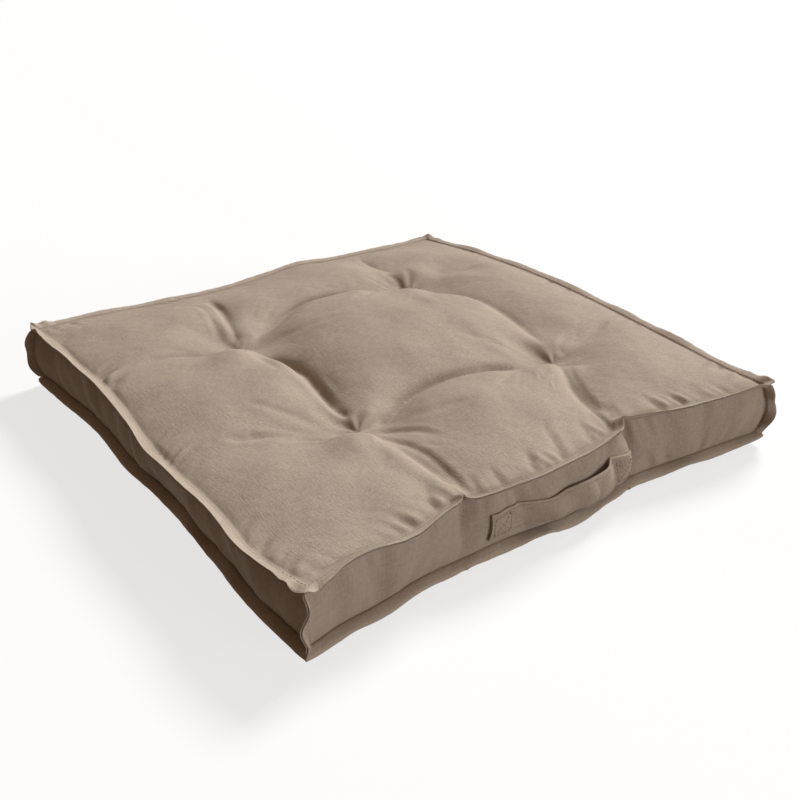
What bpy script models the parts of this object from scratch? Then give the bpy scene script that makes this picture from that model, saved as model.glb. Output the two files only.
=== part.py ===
"""Tufted floor cushion: sewn cover, fibre filling, twine ties and a carrying strap.

Units are metres and +Z is up. The carrying strap is on the -Y side. The origin is the
centre of the cushion's footprint, on the floor.

The cover is a top panel, a bottom panel and four lengths of boxing. Every seam is
turned out, so two plies of seam allowance stand proud of it all the way round: a
square flange above, a square flange below and an upright one at each corner.
"""

import math

import bmesh
import bpy
from mathutils import Vector

# Overall sizes
SIDE = 0.600  # across the flanges, from corner tip to corner tip
BOXING_HEIGHT = 0.060  # between the outer faces of the two flanges
CROWN = 0.020  # how far the filled top stands above its flange
BELLY = 0.012  # how far the filled underside hangs below its flange

# Cover
CLOTH = 0.0012  # thickness of the cloth
FLANGE = 0.012  # width of the turned-out seam allowance
SIDE_PULL = 0.009  # how far the middle of each side draws in
BOXING_BULGE = 0.004  # how far the boxing swells between its seams
CORNER_NOTCH = 0.002  # how far the plies of a corner are cut back from each other
GAP = 0.0003  # clearance between pieces that touch

# Filling
SHOULDER_POWER = 3.2  # how square the crown and the belly are in plan
SHOULDER_ROUNDNESS = 0.6  # below 1, the surface leaves its seam steeply
BELLY_FLATTENING = 1.35  # how far the belly would hang, if no floor pressed it flat

# Tufts: hand-set, so they lie a little off a true square
TUFT_X_LEFT = -0.128
TUFT_X_RIGHT = 0.142
TUFT_Y_FRONT = -0.126
TUFT_Y_BACK_LEFT = 0.107
TUFT_Y_BACK_RIGHT = 0.135
TUFT_SINK = 0.003  # how far the top of a tuft lies below the top flange
TUFT_LIFT = 0.016  # how far the underside of a tuft lies above the floor
TUFT_SPREAD = 0.050  # how far from a tuft the surface has climbed most of the way
TUFT_ROUNDNESS = 1.5  # 1 climbs like a cone, 2 like a bowl
TUFT_SEAT = 0.0065  # half the width of the flat that a tie pulls down
LEAST_PULL = 0.01  # the underside stays flat where a tuft pulls less than this
TWINE = 0.0022  # thickness of the tie
TWINE_REACH = 0.0040  # half the length of the stitch that a tie makes

# Sewing
THREAD = 0.0008
SEAM_TO_THREAD = 0.0016  # from the seam's fold to the line of stitches

# Carrying strap
STRAP_LENGTH = 0.185
STRAP_WIDTH = 0.026
STRAP_THICKNESS = 0.0030
STRAP_SEWN = 0.028  # length sewn down at each end
STRAP_OFFSET = -0.002  # middle of the strap, along X
STRAP_DROP = 0.004  # middle of the strap, below the middle of the boxing
STRAP_BOW = 0.009  # how far the free part stands off the boxing
STRAP_BOW_POWER = 3.0
BOX_STITCH_INSET = 0.003
BOX_STITCH_WIDTH = 0.0012

# Fineness of the meshes
CELL = 0.036
BOXING_STEP = 0.040
BOXING_ROWS = 4
STRAP_STEPS = 18
TWINE_STEPS = 5
THREAD_STEP = 0.040

# Sizes that follow from those above
TIP = SIDE / 2
SEAM = TIP - FLANGE
FLANGE_BOTTOM = BELLY
FLANGE_TOP = BELLY + BOXING_HEIGHT
MID_HEIGHT = BELLY + BOXING_HEIGHT / 2
HALF_BOXING = BOXING_HEIGHT / 2
FILLING_SIDE = SEAM - CLOTH - GAP
STRAP_FREE = STRAP_LENGTH - 2 * STRAP_SEWN
STRAP_MIDDLE = MID_HEIGHT - STRAP_DROP
TUFTS = {
    "front_left": (TUFT_X_LEFT, TUFT_Y_FRONT),
    "front_right": (TUFT_X_RIGHT, TUFT_Y_FRONT),
    "back_right": (TUFT_X_RIGHT, TUFT_Y_BACK_RIGHT),
    "back_left": (TUFT_X_LEFT, TUFT_Y_BACK_LEFT),
}
QUARTER_TURNS = {"front": 0, "right": 1, "back": 2, "left": 3}


def clear_scene():
    """Empties the scene and forgets the meshes that were in it."""
    for obj in list(bpy.context.scene.objects):
        bpy.data.objects.remove(obj, do_unlink=True)


def material(name, colour, roughness):
    """A plain Principled material."""
    made = bpy.data.materials.new(name)
    made.use_nodes = True
    shader = made.node_tree.nodes["Principled BSDF"]
    shader.inputs["Base Color"].default_value = (*colour, 1.0)
    shader.inputs["Roughness"].default_value = roughness
    shader.inputs["Metallic"].default_value = 0.0
    return made


# ---- the cushion's form -------------------------------------------------------------


def draw_in(point):
    """Moves a point of the flat layout to where the filled cushion holds it.

    The corners keep the full width, and each side draws in towards its middle.
    """
    x, y, z = point
    pull_x = SIDE_PULL * (x / TIP) * (1 - (y / TIP) ** 2)
    pull_y = SIDE_PULL * (y / TIP) * (1 - (x / TIP) ** 2)
    return Vector((x - pull_x, y - pull_y, z))


def quarter_turn(point, turns):
    """Turns a point about +Z by quarter turns."""
    x, y, z = point
    for _ in range(turns):
        x, y = -y, x
    return Vector((x, y, z))


def fullness(x, y):
    """0 at the seam and 1 in the middle, high over most of the cushion."""
    across = 1 - abs(x / SEAM) ** SHOULDER_POWER
    along = 1 - abs(y / SEAM) ** SHOULDER_POWER
    return (max(across, 0.0) * max(along, 0.0)) ** SHOULDER_ROUNDNESS


def tuft_pull(x, y):
    """1 on the seat of a tuft, falling to 0 away from it."""
    pull = 0.0
    for tuft_x, tuft_y in TUFTS.values():
        off_x, off_y = abs(x - tuft_x), abs(y - tuft_y)
        seated = max(off_x, off_y) <= TUFT_SEAT * 1.01
        distance = 0.0 if seated else math.hypot(off_x, off_y)
        pull = max(pull, math.exp(-((distance / TUFT_SPREAD) ** TUFT_ROUNDNESS)))
    return pull


def top_height(x, y):
    """Height of the top panel's upper face over a point of the flat layout."""
    pull = tuft_pull(x, y)
    return FLANGE_TOP + CROWN * fullness(x, y) * (1 - pull) - TUFT_SINK * pull


def bottom_height(x, y):
    """Height of the bottom panel's lower face, flat where the floor presses it."""
    resting = max(FLANGE_BOTTOM - BELLY * BELLY_FLATTENING * fullness(x, y), 0.0)
    pull = tuft_pull(x, y)
    if pull < LEAST_PULL:
        return resting
    return resting * (1 - pull) + TUFT_LIFT * pull


def boxing_bulge(z):
    """How far the boxing swells out at a height."""
    return BOXING_BULGE * (1 - ((z - MID_HEIGHT) / HALF_BOXING) ** 2)


# ---- mesh building ------------------------------------------------------------------


def link(name, data, finish):
    """Puts mesh or curve data in the scene as a named object with a material."""
    obj = bpy.data.objects.new(name, data)
    data.materials.append(finish)
    bpy.context.scene.collection.objects.link(obj)
    return obj


def solid_from(name, points, faces, finish, smooth=True):
    """A closed mesh object from a dict of named points and faces that name them."""
    mesh = bmesh.new()
    corners = {key: mesh.verts.new(point) for key, point in points.items()}
    for face in faces:
        mesh.faces.new([corners[key] for key in face])
    bmesh.ops.recalc_face_normals(mesh, faces=mesh.faces)
    data = bpy.data.meshes.new(name)
    mesh.to_mesh(data)
    mesh.free()
    if smooth:
        data.shade_smooth()
        data.set_sharp_from_angle(angle=math.radians(40))
    return link(name, data, finish)


def thick_sheet(name, outer, inner, cells, finish):
    """A sheet with two skins that share a layout, closed all round its edge.

    outer and inner give each key its point, and cells lists faces by their keys.
    """
    points = {("outer", key): point for key, point in outer.items()}
    points.update({("inner", key): point for key, point in inner.items()})
    faces = [[("outer", key) for key in cell] for cell in cells]
    faces += [[("inner", key) for key in reversed(cell)] for cell in cells]
    edges = {(a, b) for cell in cells for a, b in zip(cell, cell[1:] + cell[:1])}
    for a, b in sorted(edges):
        if (b, a) not in edges:
            faces.append([("outer", b), ("outer", a), ("inner", a), ("inner", b)])
    used = {key for face in faces for key in face}
    points = {key: point for key, point in points.items() if key in used}
    return solid_from(name, points, faces, finish)


def even_steps(start, end, longest):
    """Values from start up to, but not including, end, at most longest apart."""
    count = max(1, math.ceil((end - start) / longest - 1e-6))
    return [start + (end - start) * i / count for i in range(count)]


def grid_lines(centres, edges):
    """Lines of a panel's grid along one axis.

    Each tuft's seat lies between two lines, and edges holds the outermost lines.
    """
    fixed = {side * edge for edge in edges for side in (-1, 1)}
    for centre in centres:
        fixed |= {centre - TUFT_SEAT, centre + TUFT_SEAT}
    stops = sorted(fixed)
    lines = []
    for start, end in zip(stops, stops[1:]):
        lines += even_steps(start, end, CELL)
    return lines + [stops[-1]]


def panel_lines(edges):
    """The X lines and the Y lines of a panel, through every tuft."""
    across = grid_lines({x for x, _ in TUFTS.values()}, edges)
    along = grid_lines({y for _, y in TUFTS.values()}, edges)
    return across, along


def grid_cells(columns, rows):
    """Triangles of a grid, each cell split the same way."""
    cells = []
    for i in range(columns - 1):
        for j in range(rows - 1):
            a, b, c, d = (i, j), (i + 1, j), (i + 1, j + 1), (i, j + 1)
            cells += [[a, b, c], [a, c, d]]
    return cells


def tie_cutter():
    """The holes that the ties' legs pass through, as one hidden helper."""
    mesh = bmesh.new()
    for x, y in TUFTS.values():
        for side in (-1, 1):
            leg = bmesh.ops.create_cone(
                mesh,
                cap_ends=True,
                segments=10,
                radius1=TWINE / 2 + GAP,
                radius2=TWINE / 2 + GAP,
                depth=3 * FLANGE_TOP,
            )
            place = draw_in((x, y, MID_HEIGHT)) + Vector((side * TWINE_REACH, 0, 0))
            bmesh.ops.translate(mesh, verts=leg["verts"], vec=place)
    data = bpy.data.meshes.new("tie_cutter")
    mesh.to_mesh(data)
    mesh.free()
    cutter = bpy.data.objects.new("tie_cutter", data)
    cutter.hide_render = True
    cutter.display_type = "WIRE"
    bpy.context.scene.collection.objects.link(cutter)
    return cutter


def pierce(obj, cutter):
    """Cuts the ties' holes."""
    cut = obj.modifiers.new("tie_holes", "BOOLEAN")
    cut.operation = "DIFFERENCE"
    cut.object = cutter
    cut.solver = "EXACT"


def thread_curve(name, points, thickness, finish, closed):
    """A round cord through points, with flat ends unless it is a closed loop."""
    data = bpy.data.curves.new(name, "CURVE")
    data.dimensions = "3D"
    data.bevel_depth = thickness / 2
    data.bevel_resolution = 1
    data.use_fill_caps = not closed
    spline = data.splines.new("POLY")
    spline.points.add(len(points) - 1)
    for slot, point in zip(spline.points, points):
        slot.co = (*point, 1.0)
    spline.use_cyclic_u = closed
    return link(name, data, finish)


# ---- pieces -------------------------------------------------------------------------


def panel(name, outer_height, inward, finish, cutter):
    """A top or bottom panel, reaching to the tips of the flange.

    inward is -1 where the panel's inner face lies below its outer face.
    """
    across, along = panel_lines((SEAM, TIP))
    outer, inner = {}, {}
    for i, x in enumerate(across):
        for j, y in enumerate(along):
            height = outer_height(x, y)
            outer[i, j] = draw_in((x, y, height))
            inner[i, j] = draw_in((x, y, height + inward * CLOTH))
    cells = grid_cells(len(across), len(along))
    if inward > 0:
        cells = [cell[::-1] for cell in cells]
    obj = thick_sheet(name, outer, inner, cells, finish)
    pierce(obj, cutter)
    return obj


def filling(finish, cutter):
    """The fibre core, which fills the cover and lies just clear of it."""
    across, along = panel_lines((SEAM,))
    columns, rows = len(across), len(along)

    def place(line, lines):
        """The outermost lines close in to the inside of the boxing."""
        return math.copysign(FILLING_SIDE, line) if line in (lines[0], lines[-1]) else line

    points = {}
    for i, x in enumerate(across):
        for j, y in enumerate(along):
            at = (place(x, across), place(y, along))
            roof = top_height(x, y) - CLOTH - GAP
            floor = bottom_height(x, y) + CLOTH + GAP
            points["top", i, j] = draw_in((*at, roof))
            points["bottom", i, j] = draw_in((*at, floor))

    border = [(i, 0) for i in range(columns - 1)]
    border += [(columns - 1, j) for j in range(rows - 1)]
    border += [(i, rows - 1) for i in range(columns - 1, 0, -1)]
    border += [(0, j) for j in range(rows - 1, 0, -1)]
    roof = FLANGE_TOP - CLOTH - GAP
    floor = FLANGE_BOTTOM + CLOTH + GAP
    for level in range(1, BOXING_ROWS):
        height = floor + (roof - floor) * level / BOXING_ROWS
        swell = boxing_bulge(height)
        for i, j in border:
            x = place(across[i], across)
            y = place(along[j], along)
            x += math.copysign(swell, x) if i in (0, columns - 1) else 0
            y += math.copysign(swell, y) if j in (0, rows - 1) else 0
            points["side", level, i, j] = draw_in((x, y, height))

    def ring(level):
        """Keys of the border at a level: 0 is the bottom's edge."""
        if level == 0:
            return [("bottom", i, j) for i, j in border]
        if level == BOXING_ROWS:
            return [("top", i, j) for i, j in border]
        return [("side", level, i, j) for i, j in border]

    cells = grid_cells(columns, rows)
    faces = [[("top", i, j) for i, j in cell] for cell in cells]
    faces += [[("bottom", i, j) for i, j in reversed(cell)] for cell in cells]
    for level in range(BOXING_ROWS):
        low, high = ring(level), ring(level + 1)
        for k in range(len(border)):
            after = (k + 1) % len(border)
            faces.append([low[k], low[after], high[after], high[k]])
    obj = solid_from("filling", points, faces, finish)
    pierce(obj, cutter)
    return obj


def boxing(side, turns, finish):
    """One length of boxing, with its seam allowances turned out on all four edges.

    It is laid out on the -Y side and turned. Its outer skin is the side that shows;
    the inner skin lies against the filling, the panels and the neighbours' ends.
    """
    roof = FLANGE_TOP - CLOTH - GAP
    floor = FLANGE_BOTTOM + CLOTH + GAP
    heights = [floor + (roof - floor) * k / BOXING_ROWS for k in range(BOXING_ROWS + 1)]
    last_row = BOXING_ROWS + 2
    clear = GAP / 2 * math.sqrt(2)
    ply = CLOTH * math.sqrt(2)
    spread = [x / SEAM for x in even_steps(-SEAM, SEAM, BOXING_STEP)] + [1.0]
    last_column = len(spread) + 1

    def section(row):
        """(y, z) of the outer skin and of the inner skin on a row."""
        if row in (0, last_row):
            inner_z = floor if row == 0 else roof
            step = CLOTH if row == 0 else -CLOTH
            return (-TIP, inner_z + step), (-TIP, inner_z)
        z = heights[row - 1]
        y = -SEAM - (boxing_bulge(z) if 1 < row < last_row - 1 else 0)
        outer_z = z + (CLOTH if row == 1 else 0) - (CLOTH if row == last_row - 1 else 0)
        return (y, outer_z), (y + CLOTH, z)

    outer, inner = {}, {}
    for row in range(last_row + 1):
        (outer_y, outer_z), (inner_y, inner_z) = section(row)
        on_flange = row in (0, last_row)
        notch = CORNER_NOTCH if on_flange else 0
        outer_end = -outer_y - clear - (notch if on_flange else ply)
        inner_end = -inner_y - clear - notch
        for column, share in enumerate(spread, start=1):
            outer[column, row] = Vector((share * outer_end, outer_y, outer_z))
            inner[column, row] = Vector((share * inner_end, inner_y, inner_z))
        if on_flange:
            continue
        drop = {1: CORNER_NOTCH, last_row - 1: -CORNER_NOTCH}.get(row, 0)
        reach = TIP - CORNER_NOTCH + outer_y
        for column, sign in ((0, -1), (last_column, 1)):
            away = Vector((sign * reach, -reach, drop))
            outer[column, row] = Vector((sign * outer_end, outer_y, outer_z)) + away
            inner[column, row] = Vector((sign * inner_end, inner_y, inner_z)) + away

    cells = []
    for i in range(last_column):
        for j in range(last_row):
            if i in (0, last_column - 1) and j in (0, last_row - 1):
                continue
            cells.append([(i, j), (i + 1, j), (i + 1, j + 1), (i, j + 1)])
    outer = {key: draw_in(quarter_turn(point, turns)) for key, point in outer.items()}
    inner = {key: draw_in(quarter_turn(point, turns)) for key, point in inner.items()}
    return thick_sheet(f"boxing_{side}", outer, inner, cells, finish)


def tuft_tie(corner, x, y, finish):
    """A loop of twine through the cushion, with a short stitch above and below."""
    clear = TWINE / 2 + GAP
    high = top_height(x, y) + clear
    low = bottom_height(x, y) - clear
    round_off = TWINE * 0.6
    points = []
    for side, height in ((1, low), (1, high), (-1, high), (-1, low)):
        middle_x = side * (TWINE_REACH - round_off)
        middle_z = height - math.copysign(round_off, height - MID_HEIGHT)
        quadrant = {(1, low): -90, (1, high): 0, (-1, high): 90, (-1, low): 180}[side, height]
        for k in range(TWINE_STEPS):
            angle = math.radians(quadrant + 90 * k / (TWINE_STEPS - 1))
            points.append(
                (
                    middle_x + round_off * math.cos(angle),
                    0,
                    middle_z + round_off * math.sin(angle),
                )
            )
    place = draw_in((x, y, 0))
    points = [Vector(point) + place for point in points]
    return thread_curve(f"tuft_tie_{corner}", points, TWINE, finish, closed=True)


def seam_thread(name, height, finish):
    """The line of stitches that closes a panel's seam, all the way round."""
    line = SEAM + SEAM_TO_THREAD
    points = []
    for turns in range(4):
        for x in even_steps(-line, line, THREAD_STEP):
            points.append(draw_in(quarter_turn((x, -line, height), turns)))
    return thread_curve(name, points, THREAD, finish, closed=True)


def corner_thread(corner, turns, finish):
    """The stitches of one upright corner seam, on the face of its flange."""
    clear = CLOTH + GAP / 2 + GAP + THREAD / 2
    low = FLANGE_BOTTOM + 2 * CLOTH + 2 * GAP + CORNER_NOTCH
    high = FLANGE_TOP - 2 * CLOTH - 2 * GAP - CORNER_NOTCH
    points = []
    for step in range(BOXING_ROWS + 1):
        z = low + (high - low) * step / BOXING_ROWS
        out = SEAM + boxing_bulge(z) + SEAM_TO_THREAD
        aside = clear * math.sqrt(2)
        points.append(draw_in(quarter_turn((-out + aside, -out, z), turns)))
    return thread_curve(f"corner_seam_thread_{corner}", points, THREAD, finish, closed=False)


def strap_back():
    """Distance of the sewn strap's back from the middle of the cushion, along -Y."""
    return SEAM + BOXING_BULGE + GAP


def strap_place(x, y, z):
    """A point of the strap in the flat layout, moved to where the cushion holds it."""
    return draw_in((x + STRAP_OFFSET, y, z))


def strap_strip(name, start, end, bow, finish):
    """A length of the strap between two X values; bow gives its stand-off along it."""
    steps = max(2, math.ceil(STRAP_STEPS * (end - start) / STRAP_FREE))
    outer, inner = {}, {}
    for i in range(steps + 1):
        x = start + (end - start) * i / steps
        back = strap_back() + bow(x)
        for j, side in enumerate((-1, 1)):
            z = STRAP_MIDDLE + side * STRAP_WIDTH / 2
            outer[i, j] = strap_place(x, -(back + STRAP_THICKNESS), z)
            inner[i, j] = strap_place(x, -back, z)
    cells = [[(i, 0), (i + 1, 0), (i + 1, 1), (i, 1)] for i in range(steps)]
    return thick_sheet(name, outer, inner, cells, finish)


def strap_bow(x):
    """How far the free part of the strap stands off the boxing."""
    return STRAP_BOW * (1 - abs(2 * x / STRAP_FREE) ** STRAP_BOW_POWER)


def box_stitch(name, centre_x, finish):
    """The box and cross of stitches that holds one end of the strap down."""
    half_x = STRAP_SEWN / 2 - BOX_STITCH_INSET
    half_z = STRAP_WIDTH / 2 - BOX_STITCH_INSET
    back = strap_back() + STRAP_THICKNESS + GAP
    mesh = bmesh.new()
    hub = mesh.verts.new(strap_place(centre_x, -back, STRAP_MIDDLE))
    rim = []
    for side_x, side_z in ((-1, -1), (1, -1), (1, 1), (-1, 1)):
        corner = (centre_x + side_x * half_x, -back, STRAP_MIDDLE + side_z * half_z)
        rim.append(mesh.verts.new(strap_place(*corner)))
    quarters = [mesh.faces.new((hub, rim[k], rim[(k + 1) % 4])) for k in range(4)]
    mesh.normal_update()
    bmesh.ops.inset_individual(
        mesh, faces=quarters, thickness=BOX_STITCH_WIDTH / 2, use_even_offset=True
    )
    bmesh.ops.delete(mesh, geom=quarters, context="FACES")
    raised = bmesh.ops.extrude_face_region(mesh, geom=list(mesh.faces))
    lifted = [item for item in raised["geom"] if isinstance(item, bmesh.types.BMVert)]
    bmesh.ops.translate(mesh, verts=lifted, vec=(0, -THREAD, 0))
    bmesh.ops.recalc_face_normals(mesh, faces=mesh.faces)
    data = bpy.data.meshes.new(name)
    mesh.to_mesh(data)
    mesh.free()
    return link(name, data, finish)


def carrying_strap(cloth, thread):
    """The strap's two sewn ends, their box stitches and the free part between them."""
    half_free = STRAP_FREE / 2
    half_length = STRAP_LENGTH / 2
    middle_of_end = half_length - STRAP_SEWN / 2
    strap_strip("handle_end_left", -half_length, -half_free - GAP, lambda x: 0.0, cloth)
    strap_strip("handle_end_right", half_free + GAP, half_length, lambda x: 0.0, cloth)
    strap_strip("handle_strap", -half_free, half_free, strap_bow, cloth)
    box_stitch("handle_stitch_left", -middle_of_end, thread)
    box_stitch("handle_stitch_right", middle_of_end, thread)


def build():
    """Builds every piece of the cushion."""
    clear_scene()
    cloth = material("taupe_cloth", (0.40, 0.33, 0.26), 0.95)
    strap_cloth = material("strap_cloth", (0.36, 0.29, 0.225), 0.95)
    fibre = material("hollow_fibre", (0.85, 0.84, 0.80), 1.0)
    thread = material("sewing_thread", (0.34, 0.27, 0.20), 0.8)
    twine = material("tufting_twine", (0.38, 0.31, 0.24), 0.85)

    cutter = tie_cutter()
    panel("top_panel", top_height, -1, cloth, cutter)
    panel("bottom_panel", bottom_height, 1, cloth, cutter)
    filling(fibre, cutter)
    for side, turns in QUARTER_TURNS.items():
        boxing(side, turns, cloth)
    for corner, (x, y) in TUFTS.items():
        tuft_tie(corner, x, y, twine)

    above = GAP + THREAD / 2
    seam_thread("top_seam_thread", FLANGE_TOP + above, thread)
    seam_thread("bottom_seam_thread", FLANGE_BOTTOM - above, thread)
    for turns, corner in enumerate(TUFTS):
        corner_thread(corner, turns, thread)
    carrying_strap(strap_cloth, thread)


build()
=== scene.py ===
"""The looks of the tufted floor cushion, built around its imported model.

The cover is sewn flat, filled and tufted by cloth simulation, and then finished with
the folds, puckers, stitches and seam allowances that a sewer leaves in it.
"""

import logging
import math
from dataclasses import dataclass, field
from enum import Enum

import bpy
import numpy as np
from mathutils import Matrix, Vector


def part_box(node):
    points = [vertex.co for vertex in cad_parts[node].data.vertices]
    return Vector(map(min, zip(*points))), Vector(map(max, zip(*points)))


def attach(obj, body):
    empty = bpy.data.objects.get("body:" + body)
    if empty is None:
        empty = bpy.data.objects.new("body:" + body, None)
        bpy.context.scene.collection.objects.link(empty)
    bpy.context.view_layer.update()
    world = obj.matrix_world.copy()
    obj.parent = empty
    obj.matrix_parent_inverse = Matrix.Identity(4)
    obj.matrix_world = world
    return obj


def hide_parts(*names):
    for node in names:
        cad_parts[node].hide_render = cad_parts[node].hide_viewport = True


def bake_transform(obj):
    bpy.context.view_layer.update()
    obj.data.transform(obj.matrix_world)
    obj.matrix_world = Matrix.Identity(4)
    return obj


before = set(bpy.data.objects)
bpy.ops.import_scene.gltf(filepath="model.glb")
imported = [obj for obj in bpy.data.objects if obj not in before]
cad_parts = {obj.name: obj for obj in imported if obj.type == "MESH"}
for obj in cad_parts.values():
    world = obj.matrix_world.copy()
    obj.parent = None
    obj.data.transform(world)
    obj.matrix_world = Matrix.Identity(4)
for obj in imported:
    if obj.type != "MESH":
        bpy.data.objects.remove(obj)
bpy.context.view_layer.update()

LOG = logging.getLogger("cushion")
CUSHION_BODY = "cushion"
CORNERS = ("front_left", "front_right", "back_right", "back_left")

# Directions out of each side and along it, in the order of the sides.
STRAIGHT_OUT = np.array([[0, -1, 0], [1, 0, 0], [0, 1, 0], [-1, 0, 0]])
STRAIGHT_ALONG = np.array([[1, 0, 0], [0, 1, 0], [-1, 0, 0], [0, -1, 0]])

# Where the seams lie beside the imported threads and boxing, in metres.
SEAM_TO_THREAD = 0.0013
THREAD_ABOVE_SEAM = 0.0003
BOXING_ABOVE_SEAM = 0.0015

# How finely a fold's path is read, and how many widths away it is still felt.
FOLD_SAMPLES = 60
FOLD_REACH = 5.5

# How the cloth behaves while the cushion is filled, where only the filling shapes it.
CLOTH_BEHAVIOUR: dict[str, float] = {
    "quality": 5,
    "mass": 0.15,
    "tension_stiffness": 15,
    "compression_stiffness": 15,
    "shear_stiffness": 5,
    "bending_stiffness": 0.15,
    "tension_damping": 5,
    "compression_damping": 5,
    "shear_damping": 5,
    "bending_damping": 0.5,
}


class Side(Enum):
    """The four sides of the cushion, as quarter turns from -Y."""

    FRONT = 0
    RIGHT = 1
    BACK = 2
    LEFT = 3


class Level(Enum):
    """The two seams that run round the cushion."""

    TOP = "top"
    BOTTOM = "bottom"


# ---- numbers and meshes -------------------------------------------------------------


def smooth_step(share: np.ndarray) -> np.ndarray:
    """0 below 0, 1 above 1, and an S-curve between."""
    clipped = np.clip(share, 0.0, 1.0)
    return clipped * clipped * (3 - 2 * clipped)


def through_knots(knots: list[tuple[float, ...]], shares: np.ndarray) -> np.ndarray:
    """Reads a smooth curve through given knots.

    Args:
        knots: rows of (place along the side from -1 to 1, value, value, ...).
        shares: the places to read.

    Returns:
        One row of values for each place.
    """
    table = np.array(knots, float)
    at, values = table[:, 0], table[:, 1:]
    slope = np.gradient(values, at, axis=0)
    span = np.clip(np.searchsorted(at, shares, side="right") - 1, 0, len(at) - 2)
    step = (at[span + 1] - at[span])[:, None]
    s = ((shares - at[span])[:, None]) / step
    return (
        (2 * s**3 - 3 * s**2 + 1) * values[span]
        + (s**3 - 2 * s**2 + s) * step * slope[span]
        + (-2 * s**3 + 3 * s**2) * values[span + 1]
        + (s**3 - s**2) * step * slope[span + 1]
    )


def turned(points: np.ndarray, turns: int) -> np.ndarray:
    """Turns points about +Z.

    Args:
        points: an array of points of any shape.
        turns: how many quarter turns.

    Returns:
        The turned points, in a new array.
    """
    out = np.array(points, float)
    for _ in range(turns):
        out[..., 0], out[..., 1] = -out[..., 1].copy(), out[..., 0].copy()
    return out


def doubled(grid: np.ndarray, axis: int) -> np.ndarray:
    """Puts one more line of points between each two of a grid, on a smooth curve.

    Args:
        grid: the grid of points.
        axis: the direction in which lines are added.

    Returns:
        The finer grid.
    """
    grid = np.moveaxis(grid, axis, 0)
    before = np.concatenate([2 * grid[:1] - grid[1:2], grid[:-2]])
    after = np.concatenate([grid[2:], 2 * grid[-1:] - grid[-2:-1]])
    middle = (9 * (grid[:-1] + grid[1:]) - before - after) / 16
    out = np.empty((2 * len(grid) - 1, *grid.shape[1:]))
    out[::2] = grid
    out[1::2] = middle
    return np.moveaxis(out, 0, axis)


def grid_normals(grid: np.ndarray) -> np.ndarray:
    """Unit normals of a grid of points.

    Args:
        grid: points of (along, across, 3).

    Returns:
        One normal for each point, right-handed in the grid's two directions.
    """
    along = np.gradient(grid, axis=0)
    across = np.gradient(grid, axis=1)
    normal = np.cross(along, across)
    return normal / np.maximum(np.linalg.norm(normal, axis=2, keepdims=True), 1e-12)


def grid_faces(rows: int, columns: int, missing: np.ndarray | None = None) -> np.ndarray:
    """Quads of a grid of points, stored row by row.

    Args:
        rows: points along the first direction.
        columns: points along the second direction.
        missing: cells to leave out, as a mask of (rows - 1, columns - 1).

    Returns:
        One row of four point numbers for each cell.
    """
    i, j = np.meshgrid(np.arange(rows - 1), np.arange(columns - 1), indexing="ij")
    first = i * columns + j
    quads = np.stack([first, first + columns, first + columns + 1, first + 1], axis=-1)
    if missing is None:
        return quads.reshape(-1, 4)
    return quads[~missing]


def band(low: np.ndarray, high: np.ndarray) -> np.ndarray:
    """Quads between two closed loops of points.

    Args:
        low: point numbers of one loop.
        high: point numbers of the other loop, one for each of the first.

    Returns:
        One row of four point numbers for each pair.
    """
    return np.stack([low, np.roll(low, -1), np.roll(high, -1), high], axis=1)


def linked(name: str, data: bpy.types.ID) -> bpy.types.Object:
    """Makes an object and links it to the scene.

    Args:
        name: the object's name.
        data: its mesh, camera or light.

    Returns:
        The object.
    """
    obj = bpy.data.objects.new(name, data)
    bpy.context.scene.collection.objects.link(obj)
    return obj


def mesh_object(
    name: str,
    points: np.ndarray,
    faces: np.ndarray,
    finish: bpy.types.Material,
    cloth: np.ndarray | None = None,
    wear: np.ndarray | None = None,
) -> bpy.types.Object:
    """A smooth mesh object.

    Args:
        name: the piece's name.
        points: its points.
        faces: its faces, as rows of point numbers.
        finish: its material.
        cloth: where each point lies on the flat cloth, in metres, for the weave.
        wear: how rubbed each point is, from 0 to 1.

    Returns:
        The new object, linked to the scene.
    """
    data = bpy.data.meshes.new(name)
    faces = np.asarray(faces)
    width = faces.shape[1]
    used, faces = np.unique(faces, return_inverse=True)
    faces = faces.reshape(-1, width)
    data.from_pydata(np.asarray(points, float).reshape(-1, 3)[used].tolist(), [], faces.tolist())
    data.materials.append(finish)
    if cloth is not None:
        layer = data.attributes.new("cloth", "FLOAT_VECTOR", "POINT")
        flat = np.asarray(cloth, np.float32).reshape(-1, 3)[used]
        layer.data.foreach_set("vector", flat.ravel())
    if wear is not None:
        layer = data.attributes.new("wear", "FLOAT", "POINT")
        layer.data.foreach_set("value", np.asarray(wear, np.float32).reshape(-1)[used])
    data.shade_smooth()
    return linked(name, data)


# ---- the cushion's plan -------------------------------------------------------------


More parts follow.
